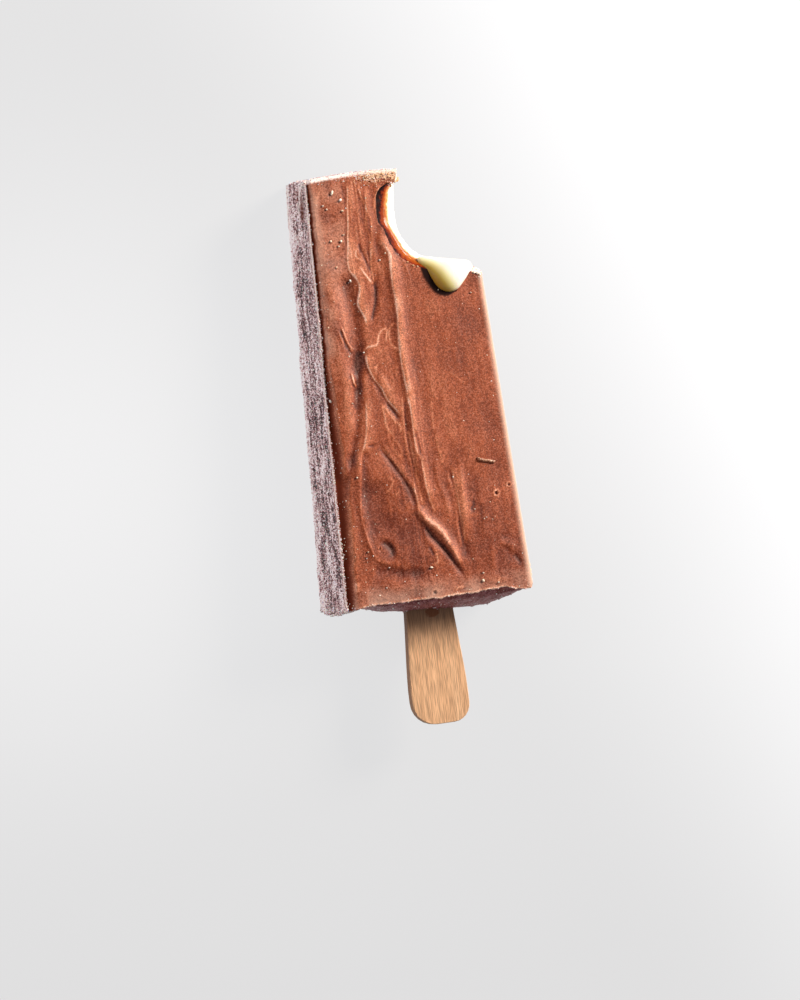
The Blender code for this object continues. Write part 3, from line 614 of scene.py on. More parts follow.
# Painted shade: the hollow behind the left crest is coloured darker towards its floor.
sunk = ramp(0.20, 0.80, hollow / depth_here) * (1 - crest) * (ring <= 1) * ramp(0.18, 0.36, from_edge)
crest = np.maximum(crest, curl)
shoulder = ramp(0.0, 0.12, hollow) * ramp(0.8, 0.25, hollow) * (ring == 0)
patchy = ramp(-0.7, 0.7, lumps(placed, 3.4 * MM, 17, (1, 1.6, 1)))
dust = np.maximum(ramp(6.5, 1.0, mid_y + 50), ramp(5.5, 1.2, from_edge) * ramp(-4.0, 16.0, mid_y))
dust = np.maximum(dust, 0.45 * ramp(18.0, 30.0, mid_y) * ramp(-10.5, -13.0, mid_x))
dust = dust * (0.35 + 0.65 * patchy) * (ring <= 1) * (1 - sunk)
blotch = ramp(0.1, 0.9, lumps(placed, 2.8 * MM, 18, (1, 1.5, 1))) * ramp(0.0, 12.0, mid_y) * (mid_x < -10)
# Painted shade darkens the folds in their depth and painted highlights pale their brows, the hollow's
# shoulders and the lip's edge. The painted light of films, rims, pits and crumbs comes in with the gain.
# Dust is pale too.
tone = 0.5 + 0.08 * np.clip(relief, DEEPEST_FOLD, 0) + (0.55 * detail + gain) * fold_share + wide_tone
tone += 0.06 * dust - 0.13 * blotch + 0.16 * shoulder + 0.62 * lip_edge
wall = ramp(rim_rings - 3, rim_rings - 0.5, ring) * (1 - 0.35 * at_stick)
wall = wall * (1 - np.maximum(slit, 0.85 * bare))
from_tip = (BAR_LENGTH / 2 + crown - placed[:, 1]) / MM
rime_tip = ramp(1.1, 0.2, from_tip) * ramp(5.0, 1.0, (top - placed[:, 2]) / MM)
rime_tip = rime_tip * (1 - 0.35 * ramp(-14.0, -4.0, mid_x))
rime_tip = np.maximum(rime_tip, at_left * ramp(3.0, 0.5, mid_z) * ramp(34.0, 44.0, mid_y))
crumbly = ramp(4.0, 0.8, from_tip) * ramp(-12.0, -2.0, mid_x)
# Painted sheen: the right edge is paler over its last 2.3 millimetres, as if grazed by light.
right_edge_sheen = ramp(2.3, 0.0, from_right)
# Painted rim light: the left wall is paler near its back edge, more so towards the tip.
back_rim_light = at_left * ramp(6.0, 0.5, mid_z) * ramp(rim_rings - 2, rim_rings, ring)
back_rim_light = back_rim_light * (1 + 0.5 * ramp(10.0, 40.0, mid_y))
# Painted shade on the stick end, darkest in its upper part under the lip and gone at its lower edge.
under = at_stick * ramp(1.5, 3.5, ring) * ramp(1.0, 9.0, mid_z) * lip_share
# Painted shadow: near black beside the drop's lower left edge, widest under its bulb. The curl's slit and
# its bare strip are also given painted shade.
shadow_distance, shadow_run = measure_line(mid_x, mid_y, smooth_line(DRIP_SIDE, 3))
shadow_reach = 0.25 + 1.55 * ramp(0.0, 4.5, shadow_run)
painted_cast_shadow = (ring == 0) * ramp(1.25, 0.75, np.abs(shadow_distance) / shadow_reach)
painted_cast_shadow = np.maximum(painted_cast_shadow, np.maximum(slit, 0.75 * bare))
marks = {"frost": wall, "crest": crest, "rime": rime_tip, "crumbly": crumbly, "sheen": right_edge_sheen,
    "rim_light": back_rim_light, "hollow_shade": sunk, "cast_shadow": painted_cast_shadow, "under": under, "dust": dust, "tone": np.clip(tone, 0,
    1)}
spots = kdtree.KDTree(len(placed))
for i, point in enumerate(placed):
    spots.insert(point, i)
spots.balance()

# ---- The bite ----
# Teeth took the tip's right corner from both faces, so the wall that they left has a blunt ridge at
# mid-thickness. Each layer is cut by its own copy of the bite, a little larger or smaller.
BITE_EDGE = [(2.3, 54.0), (1.9, 49.0), (-0.8, 48.2), (-2.9, 46.6), (-3.9, 43.2), (-4.3, 39.9), (-2.4,
    36.6), (-0.9, 32.4), (1.8, 29.4), (6.2, 27.3), (11.0, 26.4), (16.5, 25.7), (22.0, 24.9)]
BITE_RIDGE = [(4.2, 54.0), (4.0, 50.2), (3.7, 48.8), (3.5, 46.6), (3.2, 43.2), (3.3, 39.0), (4.2, 36.0),
    (6.0, 33.4), (8.3, 31.6), (11.2, 31.0), (14.4, 30.3), (18.2, 29.2), (22.6, 27.2)]
BITE_OUTSIDE = [(32.0, 24.0), (32.0, 66.0), (4.2, 66.0)]
BITE_CENTRE = np.array([18.0, 38.0])
BITE_RINGS = 44
BITE_LOW, BITE_HIGH = -1.6, 24.0


def bite_cutter(name, grow, roughness, grain):
    """The bitten-off space, GROW millimetres larger, with a wall of lumps of size GRAIN."""
    edge = np.vstack([smooth_line(BITE_EDGE, 9), BITE_OUTSIDE])
    ridge = np.vstack([smooth_line(BITE_RIDGE, 9), BITE_OUTSIDE])
    bitten = len(edge) - len(BITE_OUTSIDE)
    deselect()
    bpy.ops.mesh.primitive_circle_add(vertices=len(edge), fill_type='NGON')
    cutter = bpy.context.object
    cutter.name = name
    edit_all(bpy.ops.mesh.extrude_region_move, BITE_RINGS, TRANSFORM_OT_translate={"value": (0, 0, 1)})
    raw_ring = points_of(cutter)
    level = np.rint(raw_ring[:, 2]).astype(int)
    turn = np.arctan2(raw_ring[:, 1], raw_ring[:, 0])
    step = np.rint((turn - turn[0]) / (2 * math.pi / len(edge))).astype(int) % len(edge)
    z = BITE_LOW + (BITE_HIGH - BITE_LOW) * level / BITE_RINGS
    share = np.clip(z / (bar_height(np.minimum(edge[step, 1], 50) * MM) / MM), 0, 1)
    swell = np.sin(math.pi * share) ** 0.75
    shaped = edge[step] + (ridge[step] - edge[step]) * swell[:, None]
    outward = (shaped - BITE_CENTRE) / np.linalg.norm(shaped - BITE_CENTRE, axis=1)[:, None]
    ringed = np.column_stack([shaped + outward * grow, z]) * MM
    lump = lumps(ringed, grain * MM, 31) + 0.5 * lumps(ringed, grain * 0.4 * MM, 32)
    ringed[:, :2] += outward * (lump * roughness * MM * (step < bitten))[:, None]
    move_points(cutter, ringed)
    deselect()
    cutter.select_set(True)
    edit_all(bpy.ops.mesh.normals_make_consistent, inside=False)
    return cutter


def cut(obj, cutter):
    apply_modifier(obj, 'BOOLEAN', operation='DIFFERENCE', solver='EXACT', material_mode='TRANSFER',
        object=cutter)
    bpy.data.objects.remove(cutter)


def note_depth(obj):
    """Notes how far every vertex lies under the bar's front, in millimetres."""
    points = points_of(obj)
    depth = (bar_height(points[:, 1]) - points[:, 2]) / MM
    note(obj, "depth", depth)


COAT_THICKNESS = 1.9 * MM
FRONT_THICKNESS = 1.5 * MM
CARAMEL_THICKNESS = 1.8 * MM
INNER_DOME = 2.4 * MM


# Snapped milk chocolate soaked with caramel, coloured by depth: painted near black as shade at the skin,
# then deep red-brown to amber, painted lighter as light coming through. At the tip and the far corner it is
# crumbly and white with frost.
snapped, tree = new_material("snapped_milk_chocolate")
place = add(tree, 'ShaderNodeTexCoord').outputs["Object"]
depth_here = add(tree, 'ShaderNodeAttribute', attribute_name="depth").outputs["Fac"]
crumb = add(tree, 'ShaderNodeTexNoise', {"Vector": place, "Scale": 1 / (0.7 * MM), "Detail": 4.0})
jitter = add(tree, 'ShaderNodeMath', {0: crumb, 1: 1.8, 2: depth_here}, operation='MULTIPLY_ADD')
in_bite = add(tree, 'ShaderNodeSeparateXYZ', {"Vector": place})
thinner = add(tree, 'ShaderNodeMapRange', {"Value": in_bite.outputs["Y"], "From Min": 30 * MM,
    "From Max": 42 * MM, "To Min": 0.20, "To Max": -0.55})
jitter = add(tree, 'ShaderNodeMath', {0: jitter, 1: thinner}, operation='ADD')
level = add(tree, 'ShaderNodeMapRange', {"Value": jitter, "From Min": 0.6, "From Max": 3.6})
bands = add(tree, 'ShaderNodeValToRGB', {"Fac": level})
CUT_COLOURS = [(0.0, "#120100"), (0.13, "#2c0502"), (0.20, "#5a1404"), (0.30, "#802a04"), (0.54,
    "#a04a08"), (0.74, "#cf8434"), (0.90, "#f8e2c2"), (1.0, "#fff6e8")]


def colour_stops(ramp_node, stops):
    """Sets a colour ramp's stops from (position, hex code) pairs."""
    while len(ramp_node.color_ramp.elements) < len(stops):
        ramp_node.color_ramp.elements.new(0.5)
    for stop, (position, colour) in zip(ramp_node.color_ramp.elements, stops):
        stop.position, stop.color = position, srgb(colour)


colour_stops(bands, CUT_COLOURS)
FROST_FROM_Y, FROST_FROM_X = 47.8 * MM, 17.4 * MM
FROST_FADE = 1.0 * MM
near_tip = add(tree, 'ShaderNodeMapRange', {"Value": in_bite.outputs["Y"], "From Min": FROST_FROM_Y,
    "From Max": FROST_FROM_Y + FROST_FADE})
near_corner = add(tree, 'ShaderNodeMapRange', {"Value": in_bite.outputs["X"], "From Min": FROST_FROM_X,
    "From Max": FROST_FROM_X + FROST_FADE})
frosty = add(tree, 'ShaderNodeMath', {0: near_tip, 1: near_corner}, operation='MAXIMUM')
frosty_grain = add(tree, 'ShaderNodeMath', {0: frosty, 1: crumb, 2: -0.16}, operation='MULTIPLY_ADD')
frosty_level = add(tree, 'ShaderNodeMapRange', {"Value": frosty_grain, "From Min": 0.12,
    "From Max": 0.30})
cut_colour = add(tree, 'ShaderNodeMix', {"Factor": frosty_level, "A": bands, "B": srgb("#f6e7d4")},
    data_type='RGBA')
pits = add(tree, 'ShaderNodeBump', {"Strength": 0.5, "Distance": 0.10 * MM, "Height": crumb})
surface = add(tree, 'ShaderNodeBsdfPrincipled', {"Base Color": cut_colour, "Roughness": 0.6,
    "Specular IOR Level": 0.06, "Normal": pits})
close_material(tree, surface)


def inner_block(name, side, low_inset, high_inset, dome):
    """A plain block inside the coat, between insets from the back and from the front."""
    deselect()
    bpy.ops.mesh.primitive_cube_add(size=2)
    block = bpy.context.object
    block.name = name
    edit_all(bpy.ops.mesh.subdivide, number_cuts=7)
    cube = points_of(block)
    y = cube[:, 1] * (BAR_LENGTH / 2 - side)
    half = bar_width(y) / 2 - side
    low, high = low_inset, bar_height(y) - high_inset
    # Long corners are drawn in, as the coat's inside is.
    corner = (np.abs(cube[:, 0]) > 0.99) & (np.abs(cube[:, 2]) > 0.99)
    x = cube[:, 0] * (half - corner * 0.8 * MM)
    z = low + (high - low) * (cube[:, 2] + 1) / 2
    roundness = np.clip(1 - cube[:, 0] ** 2, 0, 1) * np.clip(1 - cube[:, 2] ** 2, 0, 1)
    y = y - (cube[:, 1] < -0.99) * dome * np.sqrt(roundness)
    move_points(block, np.column_stack([x, y, z]))
    return block


core = inner_block("core", COAT_THICKNESS, COAT_THICKNESS, FRONT_THICKNESS, INNER_DOME)
core.data.materials.append(snapped)
cut(coat, core)
bite = bite_cutter("bite", 0.0, 0.10, 1.3)
bite.data.materials.append(snapped)
coat.data.materials.append(snapped)
cut(coat, bite)
note_depth(coat)
nearest = np.array([spots.find(point)[1] for point in points_of(coat)])
for name, values in marks.items():
    note(coat, name, values[nearest])

# ---- Frosted chocolate finish ----
# Milk chocolate with a bloom of fine frost: satin brown on the front with painted shade in its folds and
# painted highlights on crests and rims, mauve-grey and sugary on the walls, and white with rime along the
# tip and the left crest.
chocolate, tree = new_material("frosted_milk_chocolate")
place = add(tree, 'ShaderNodeTexCoord').outputs["Object"]
amount = {name: add(tree, 'ShaderNodeAttribute', attribute_name=name).outputs["Fac"] for name in marks}
cloud = add(tree, 'ShaderNodeTexNoise', {"Vector": place, "Scale": 1 / (9 * MM), "Detail": 3.0})
cloudy = add(tree, 'ShaderNodeMath', {0: cloud, 1: 0.40, 2: amount["tone"]}, operation='MULTIPLY_ADD')
cloudy = add(tree, 'ShaderNodeMath', {0: cloudy, 1: 0.20}, operation='SUBTRACT')
skin = add(tree, 'ShaderNodeValToRGB', {"Fac": cloudy})
SKIN_COLOURS = [(0.0, "#4c1a0c"), (0.28, "#6e2b15"), (0.5, "#994a2a"), (0.72, "#c17452"), (1.0, "#f4c3aa")]
colour_stops(skin, SKIN_COLOURS)
# The bloom is a speckle of crystals about a quarter of a millimetre across over softer patches.
crystals = add(tree, 'ShaderNodeTexVoronoi', {"Vector": place, "Scale": 1 / (0.27 * MM)})
crystal_tone = add(tree, 'ShaderNodeSeparateColor', {"Color": crystals.outputs["Color"]})
crystal_gain = add(tree, 'ShaderNodeMapRange', {"Value": crystal_tone, "To Min": 0.64, "To Max": 1.38})
grain = add(tree, 'ShaderNodeTexNoise', {"Vector": place, "Scale": 1 / (0.22 * MM), "Detail": 1.0})
grain_gain = add(tree, 'ShaderNodeMapRange', {"Value": grain, "From Min": 0.3, "From Max": 0.72,
    "To Min": 0.66, "To Max": 1.38})
both_gains = add(tree, 'ShaderNodeMath', {0: crystal_gain, 1: grain_gain}, operation='MULTIPLY')
grained = add(tree, 'ShaderNodeVectorMath', {0: skin, "Scale": both_gains}, operation='SCALE')
dust_grain = add(tree, 'ShaderNodeMath', {0: crystal_tone, 1: 0.5, 2: amount["dust"]},
    operation='MULTIPLY_ADD')
dust_level = add(tree, 'ShaderNodeMapRange', {"Value": dust_grain, "From Min": 0.25, "From Max": 1.5,
    "To Max": 0.62})
# Sugary frost on the walls: grains a third of a millimetre across, in streaks that wander along the bar.
bend = add(tree, 'ShaderNodeTexNoise', {"Vector": place, "Scale": 1 / (9 * MM)})
bent = add(tree, 'ShaderNodeVectorMath', {0: bend.outputs["Color"], 1: (0.006, 0.0, 0.006), 2: place},
    operation='MULTIPLY_ADD')
stretched = add(tree, 'ShaderNodeMapping', {"Vector": bent, "Scale": (1.0, 0.14, 1.0)})
streak = add(tree, 'ShaderNodeTexNoise', {"Vector": stretched, "Scale": 1 / (1.5 * MM), "Detail": 3.0})
drawn = add(tree, 'ShaderNodeMapping', {"Vector": place, "Scale": (1.0, 1.0, 0.4)})
sugar = add(tree, 'ShaderNodeTexNoise', {"Vector": drawn, "Scale": 1 / (0.24 * MM), "Detail": 1.5})
lumps_of_sugar = add(tree, 'ShaderNodeTexVoronoi', {"Vector": drawn, "Scale": 1 / (0.36 * MM)})
lump_tone = add(tree, 'ShaderNodeSeparateColor', {"Color": lumps_of_sugar.outputs["Color"]})
mixed = add(tree, 'ShaderNodeMath', {0: streak, 1: 1.15, 2: sugar}, operation='MULTIPLY_ADD')
mixed = add(tree, 'ShaderNodeMath', {0: lump_tone, 1: 0.30, 2: mixed}, operation='MULTIPLY_ADD')
# The painted rim light pales the frost near the left wall's back edge.
mixed = add(tree, 'ShaderNodeMath', {0: amount["rim_light"], 1: 0.24, 2: mixed}, operation='MULTIPLY_ADD')
sugar_level = add(tree, 'ShaderNodeMapRange', {"Value": mixed, "From Min": 1.09, "From Max": 1.40})
frost_colour = add(tree, 'ShaderNodeValToRGB', {"Fac": sugar_level})
FROST_COLOURS = [(0.0, "#240406"), (0.3, "#6e3437"), (0.55, "#b98182"), (0.8, "#eccaca"), (1.0, "#fff4f4")]
colour_stops(frost_colour, FROST_COLOURS)
# The stick end keeps less frost, and is painted dark purple-brown as shade under the lip, fading to pale
# frost again at its lower edge.
end_frost = add(tree, 'ShaderNodeMapRange', {"Value": mixed, "From Min": 0.95, "From Max": 1.55})
end_colour = add(tree, 'ShaderNodeMix', {"Factor": end_frost, "A": srgb("#6f2029"), "B": srgb("#c98a92")},
    data_type='RGBA')
ended = add(tree, 'ShaderNodeMix', {"Factor": amount["under"], "A": frost_colour, "B": end_colour},
    data_type='RGBA')
crest_mix = add(tree, 'ShaderNodeMath', {0: amount["crest"], 1: sugar, 2: 0.10}, operation='MULTIPLY_ADD')
crest_level = add(tree, 'ShaderNodeMapRange', {"Value": crest_mix, "From Min": 0.18, "From Max": 0.55})
crumbly_grain = add(tree, 'ShaderNodeMath', {0: crystal_tone, 1: 0.9, 2: amount["crumbly"]},
    operation='MULTIPLY_ADD')
crumbly_level = add(tree, 'ShaderNodeMapRange', {"Value": crumbly_grain, "From Min": 0.95,
    "From Max": 1.35})
rime_grain = add(tree, 'ShaderNodeMath', {0: sugar, 1: 1.0, 2: amount["rime"]}, operation='MULTIPLY_ADD')
rime_level = add(tree, 'ShaderNodeMapRange', {"Value": rime_grain, "From Min": 0.75, "From Max": 1.45})
sheen_mix = add(tree, 'ShaderNodeMath', {0: amount["sheen"], 1: 0.60}, operation='MULTIPLY')
# From the skin outwards, each layer by how much of it there is. The hollow's shade, the drop's cast shadow,
# the stick end's shade under the lip and the right edge's sheen are painted light.
coloured = grained
for share, colour in ((dust_level, srgb("#d3aa96")), (amount["hollow_shade"], srgb("#64240f")), (amount["cast_shadow"],
        srgb("#1c0402")), (amount["frost"], ended), (crest_level, srgb("#fdf0ec")), (crumbly_level,
        srgb("#e2bb98")), (rime_level, srgb("#fbece4")), (sheen_mix, srgb("#f3d3bb"))):
    coloured = add(tree, 'ShaderNodeMix', {"Factor": share, "A": coloured, "B": colour}, data_type='RGBA')
grain_bump = add(tree, 'ShaderNodeBump', {"Strength": 0.30, "Distance": 0.08 * MM,
    "Height": crystal_tone})
frost_bump = add(tree, 'ShaderNodeBump', {"Strength": amount["frost"], "Distance": 0.35 * MM,
    "Height": mixed, "Normal": grain_bump})
in_painted_shade = add(tree, 'ShaderNodeMath', {0: amount["hollow_shade"], 1: amount["cast_shadow"]}, operation='MAXIMUM')
roughness = add(tree, 'ShaderNodeMapRange', {"Value": in_painted_shade, "To Min": 0.5, "To Max": 0.95})
surface = add(tree, 'ShaderNodeBsdfPrincipled', {"Base Color": coloured, "Specular IOR Level": 0.24,
    "Roughness": roughness, "Normal": frost_bump})
close_material(tree, surface)
coat.data.materials[0] = chocolate
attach(coat, "root")
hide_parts("chocolate_coating")

# ---- Caramel ----
# A soft sheet under the front of the coat. At the bite it is a glossy band, painted dark as shade where it
# meets the chocolate and amber as painted light coming through it further in.
caramel = inner_block("caramel_sheet", COAT_THICKNESS, 0.0, FRONT_THICKNESS, 0.0)
sheet = points_of(caramel)
sheet_top = bar_height(sheet[:, 1]) - FRONT_THICKNESS
sheet[:, 2] = sheet_top - CARAMEL_THICKNESS * (1 - sheet[:, 2] / sheet_top)
move_points(caramel, sheet)
toffee, tree = new_material("soft_caramel")
place = add(tree, 'ShaderNodeTexCoord').outputs["Object"]
depth_here = add(tree, 'ShaderNodeAttribute', attribute_name="depth").outputs["Fac"]
swirl = add(tree, 'ShaderNodeTexNoise', {"Vector": place, "Scale": 1 / (0.9 * MM), "Detail": 2.0})
jitter = add(tree, 'ShaderNodeMath', {0: swirl, 1: 1.2, 2: depth_here}, operation='MULTIPLY_ADD')
level = add(tree, 'ShaderNodeMapRange', {"Value": jitter, "From Min": 0.6, "From Max": 3.6})
bands = add(tree, 'ShaderNodeValToRGB', {"Fac": level})
colour_stops(bands, CUT_COLOURS)
surface = add(tree, 'ShaderNodeBsdfPrincipled', {"Base Color": bands, "Roughness": 0.25,
    "Specular IOR Level": 0.35, "Subsurface Weight": 0.15, "Subsurface Scale": 0.5 * MM,
    "Subsurface Radius": (1.0, 0.4, 0.15)})
close_material(tree, surface)
caramel.data.materials.append(toffee)
caramel_bite = bite_cutter("caramel_bite", -0.06, 0.08, 1.5)
caramel_bite.data.materials.append(toffee)
cut(caramel, caramel_bite)
note_depth(caramel)
bpy.ops.object.shade_smooth_by_angle(angle=math.radians(50))
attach(caramel, "root")
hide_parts("caramel_layer")

# ---- Ice cream ----
# Whipped vanilla ice cream, frozen: white, finely porous and icy where it was bitten.
filling = inner_block("ice_cream_core", COAT_THICKNESS, COAT_THICKNESS,
    FRONT_THICKNESS + CARAMEL_THICKNESS, INNER_DOME)
vanilla, tree = new_material("frozen_vanilla_ice_cream")
place = add(tree, 'ShaderNodeTexCoord').outputs["Object"]
pores = add(tree, 'ShaderNodeTexNoise', {"Vector": place, "Scale": 1 / (0.6 * MM), "Detail": 4.0})
tone_mix = add(tree, 'ShaderNodeMix', {"Factor": pores, "A": srgb("#f8efdc"), "B": srgb("#ffffff")},
    data_type='RGBA')
pore_bump = add(tree, 'ShaderNodeBump', {"Strength": 0.5, "Distance": 0.15 * MM, "Height": pores})
surface = add(tree, 'ShaderNodeBsdfPrincipled', {"Base Color": tone_mix, "Roughness": 0.5,
    "Subsurface Weight": 0.4, "Subsurface Scale": 1.5 * MM, "Subsurface Radius": (1.0, 0.85, 0.6),
    "Normal": pore_bump})
close_material(tree, surface)
filling.data.materials.append(vanilla)
filling_bite = bite_cutter("filling_bite", -0.12, 0.12, 1.1)
filling_bite.data.materials.append(vanilla)
cut(filling, filling_bite)
bpy.ops.object.shade_smooth_by_angle(angle=math.radians(50))
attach(filling, "root")
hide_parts("ice_cream")

# ---- Melt drip ----
# Ice cream that melted on the bite's lower wall and hangs over its edge as one thick, smooth drop. It
# widens from a thin tail at the left to a bulb, and its shoulder covers the wall up to the ridge.
DRIP_BALLS = [
    # x, y, distance under the front's plane, and radius, in millimetres
    (5.9, 29.9, 1.3, 0.75),
    (11.9, 25.4, 0.1, 3.85),
    (16.9, 27.3, 1.0, 1.7),
    (9.4, 29.6, 7.5, 1.6),
    (18.4, 27.9, 7.5, 1.35),
]
DRIP_FLATNESS = 0.60
deselect()
balls = []
for x, y, depth, radius in DRIP_BALLS:
    deselect()
    bpy.ops.mesh.primitive_uv_sphere_add(segments=40, ring_count=24, radius=radius * MM)
    ball = bpy.context.object
    centre = np.array([x * MM, y * MM, bar_height(y * MM) - depth * MM])
    move_points(ball, points_of(ball) * np.array([1, 1, DRIP_FLATNESS]) + centre)
    balls.append(ball)
deselect()
for ball in balls:
    ball.select_set(True)
bpy.context.view_layer.objects.active = balls[0]
bpy.ops.object.join()
drip = bpy.context.object
drip.name = "melted_drip"
edit_all(bpy.ops.mesh.convex_hull)
apply_modifier(drip, 'REMESH', mode='VOXEL', voxel_size=0.18 * MM)
apply_modifier(drip, 'SMOOTH', factor=0.5, iterations=14)
bpy.ops.object.shade_smooth()
# Painted shade: the drop's lower left, turned away from the light, is coloured a darker gold where it lies
# over the chocolate.
drop = points_of(drip) / MM
drip_shade = (np.array(DRIP_BALLS[1][:2]) - drop[:, :2]) @ np.array([0.84, 0.54])
drip_shade = ramp(-0.6, 4.0, drip_shade) * ramp(-1.5, 0.4, drop[:, 2] - bar_height(drop[:, 1] * MM) / MM + 1.0)
drip_shade *= 1 - 0.8 * ramp(27.5, 30.5, drop[:, 1])
note(drip, "drip_shade", drip_shade)
melt, tree = new_material("melted_vanilla_ice_cream")
drip_shade_here = add(tree, 'ShaderNodeAttribute', attribute_name="drip_shade").outputs["Fac"]
cream = add(tree, 'ShaderNodeValToRGB', {"Fac": drip_shade_here})
MELT_COLOURS = [(0.0, "#fbf8e6"), (0.3, "#f0e6a6"), (0.7, "#cdb04e"), (1.0, "#b0802a")]
colour_stops(cream, MELT_COLOURS)
surface = add(tree, 'ShaderNodeBsdfPrincipled', {"Base Color": cream, "Roughness": 0.16,
    "Subsurface Weight": 0.25, "Subsurface Scale": 1.2 * MM, "Subsurface Radius": (1.0, 0.75, 0.3)})
close_material(tree, surface)
drip.data.materials.append(melt)
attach(drip, "root")
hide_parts("melt_drip")

# ---- Frost crystals ----
# Ice that grew on the cold walls: small blunt crystals, dense on the left wall and its crest, along the
# tip and round the stick end's lower left, and thin elsewhere.
CRYSTAL_COUNT = 8000
CRYSTAL_RADIUS = 0.15 * MM
FINE_SHARE = 0.72    # those level with the front are this much smaller
CRYSTAL_SEED = 5
deselect()
bpy.ops.mesh.primitive_ico_sphere_add(subdivisions=1, radius=1)
crystal = bpy.context.object
crystal_points = points_of(crystal)
crystal_faces = np.array([face.vertices[:] for face in crystal.data.polygons])
bpy.data.objects.remove(crystal)


def turned_copies(shape, places, sizes, rng):
    """Copies of a shape, each turned and stretched at random, at its place and size."""
    turn = [Quaternion(axis).normalized().to_matrix() for axis in rng.normal(size=(len(places), 4))]
    stretched_shapes = shape[None] * rng.uniform(0.55, 1.35, (len(places), 1, 3))
    turned_shapes = np.einsum('nij,nkj->nki', np.array(turn), stretched_shapes)
    return turned_shapes * sizes[:, None, None] + places[:, None]


def joined_mesh(name, copies, faces, shades):
    """One object of many copies, with a shade for each kept as an attribute."""
    mesh = bpy.data.meshes.new(name)
    offsets = np.arange(len(copies))[:, None, None] * copies.shape[1]
    mesh.from_pydata(copies.reshape(-1, 3).tolist(), [], (faces[None] + offsets).reshape(-1, 3).tolist())
    made = bpy.data.objects.new(name, mesh)
    bpy.context.scene.collection.objects.link(made)
    note(made, "shade", np.repeat(shades, copies.shape[1]))
    return made


def surface_spots(obj, density, count, rng):
    """COUNT random points on a mesh, spread by area and by DENSITY, a value for each vertex."""
    mesh = obj.data
    mesh.calc_loop_triangles()
    corners = np.empty(len(mesh.loop_triangles) * 3, int)
    mesh.loop_triangles.foreach_get("vertices", corners)
    # A cut leaves its points and triangles in no fixed order, so both are first put in order of place.
    points = points_of(obj)
    order = np.lexsort(np.round(points / MM, 4).T)
    rank = np.empty(len(order), int)
    rank[order] = np.arange(len(order))
    points, density = points[order], density[order]
    corners = np.sort(rank[corners.reshape(-1, 3)], axis=1)
    corners = corners[np.lexsort(corners.T)]
    a, b, c = points[corners].transpose(1, 0, 2)
    weight = np.linalg.norm(np.cross(b - a, c - a), axis=1) * density[corners].mean(1)
    chosen = rng.choice(len(corners), count, p=weight / weight.sum())
    u, v = rng.random((2, count, 1))
    u, v = np.where(u + v > 1, 1 - u, u), np.where(u + v > 1, 1 - v, v)
    return a[chosen] + u * (b - a)[chosen] + v * (c - a)[chosen]


rng = np.random.default_rng(CRYSTAL_SEED)
skin_points = points_of(coat)
x, y, z = skin_points.T / MM
under_front = bar_height(skin_points[:, 1]) / MM - z
left_gap = x + bar_width(skin_points[:, 1]) / 2 / MM
tip_gap = (BAR_LENGTH / 2 + TIP_CROWN) / MM - y
nearest = [spots.find(point) for point in skin_points]
outside = np.array([gap < 0.3 * MM for _, _, gap in nearest])
opened = np.maximum(slit, bare)[[index for _, index, _ in nearest]]
on_left = (left_gap < 0.7) * (under_front > 1.2)
on_crest = (left_gap < 0.5) * (under_front < 2.0)
on_tip = (tip_gap < 2.2) * (under_front < 3.5) * (x < 3.0)
edge_gap = y + 50 - np.interp(x, *np.array(LIP_LINE).T)
on_lip = (np.abs(edge_gap) < 0.3) * (under_front < 0.7) * (x > -21.0)
on_corner = (x < -17.0) * (y < -49.2) + (x > 18.6) * (y > 24.0) * (y < 28.0) * (under_front < 2.0)
elsewhere = ramp(0.8, 2.5, under_front) * (z > 0.5) * (1 + 0.6 * (y < -49.0))
by_prong = (tip_gap < 5.0) * (x > -8.0) * (under_front < 1.0)
# How many there are in each place, by area, against one on the left wall.
density = outside * (on_left + 5.0 * on_crest + 2.2 * on_tip + 3.0 * on_corner + 0.14 * elsewhere + 0.5
    * by_prong + 1.2 * on_lip)
in_bite_rime = (1 - outside) * ((y > 48.0) + (x > 18.5)) * (under_front < 6)
density = (density + 0.9 * in_bite_rime) * (1 - np.clip(1.4 * opened, 0, 1))
places = surface_spots(coat, density, CRYSTAL_COUNT, rng)
sizes = CRYSTAL_RADIUS * rng.lognormal(-0.1, 0.35, CRYSTAL_COUNT)
sizes *= np.where(places[:, 2] > bar_height(places[:, 1]) - 1.0 * MM, FINE_SHARE, 1.0)
shades = rng.random(CRYSTAL_COUNT)
frost = joined_mesh("frost_crystals", turned_copies(crystal_points, places, sizes, rng), crystal_faces,
    shades)
ice, tree = new_material("frost_on_chocolate")
# Clouded ice, from the mauve of the chocolate that shows through it to plain white.
shade_here = add(tree, 'ShaderNodeAttribute', attribute_name="shade").outputs["Fac"]
ice_colour = add(tree, 'ShaderNodeValToRGB', {"Fac": shade_here})
colour_stops(ice_colour, [(0.0, "#a87a7c"), (0.3, "#d9b8b8"), (0.6, "#f6e4e2"), (1.0, "#ffffff")])
surface = add(tree, 'ShaderNodeBsdfPrincipled', {"Base Color": ice_colour, "Roughness": 0.35,
    "Subsurface Weight": 0.2, "Subsurface Scale": 0.3 * MM})
close_material(tree, surface)
frost.data.materials.append(ice)
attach(frost, "root")

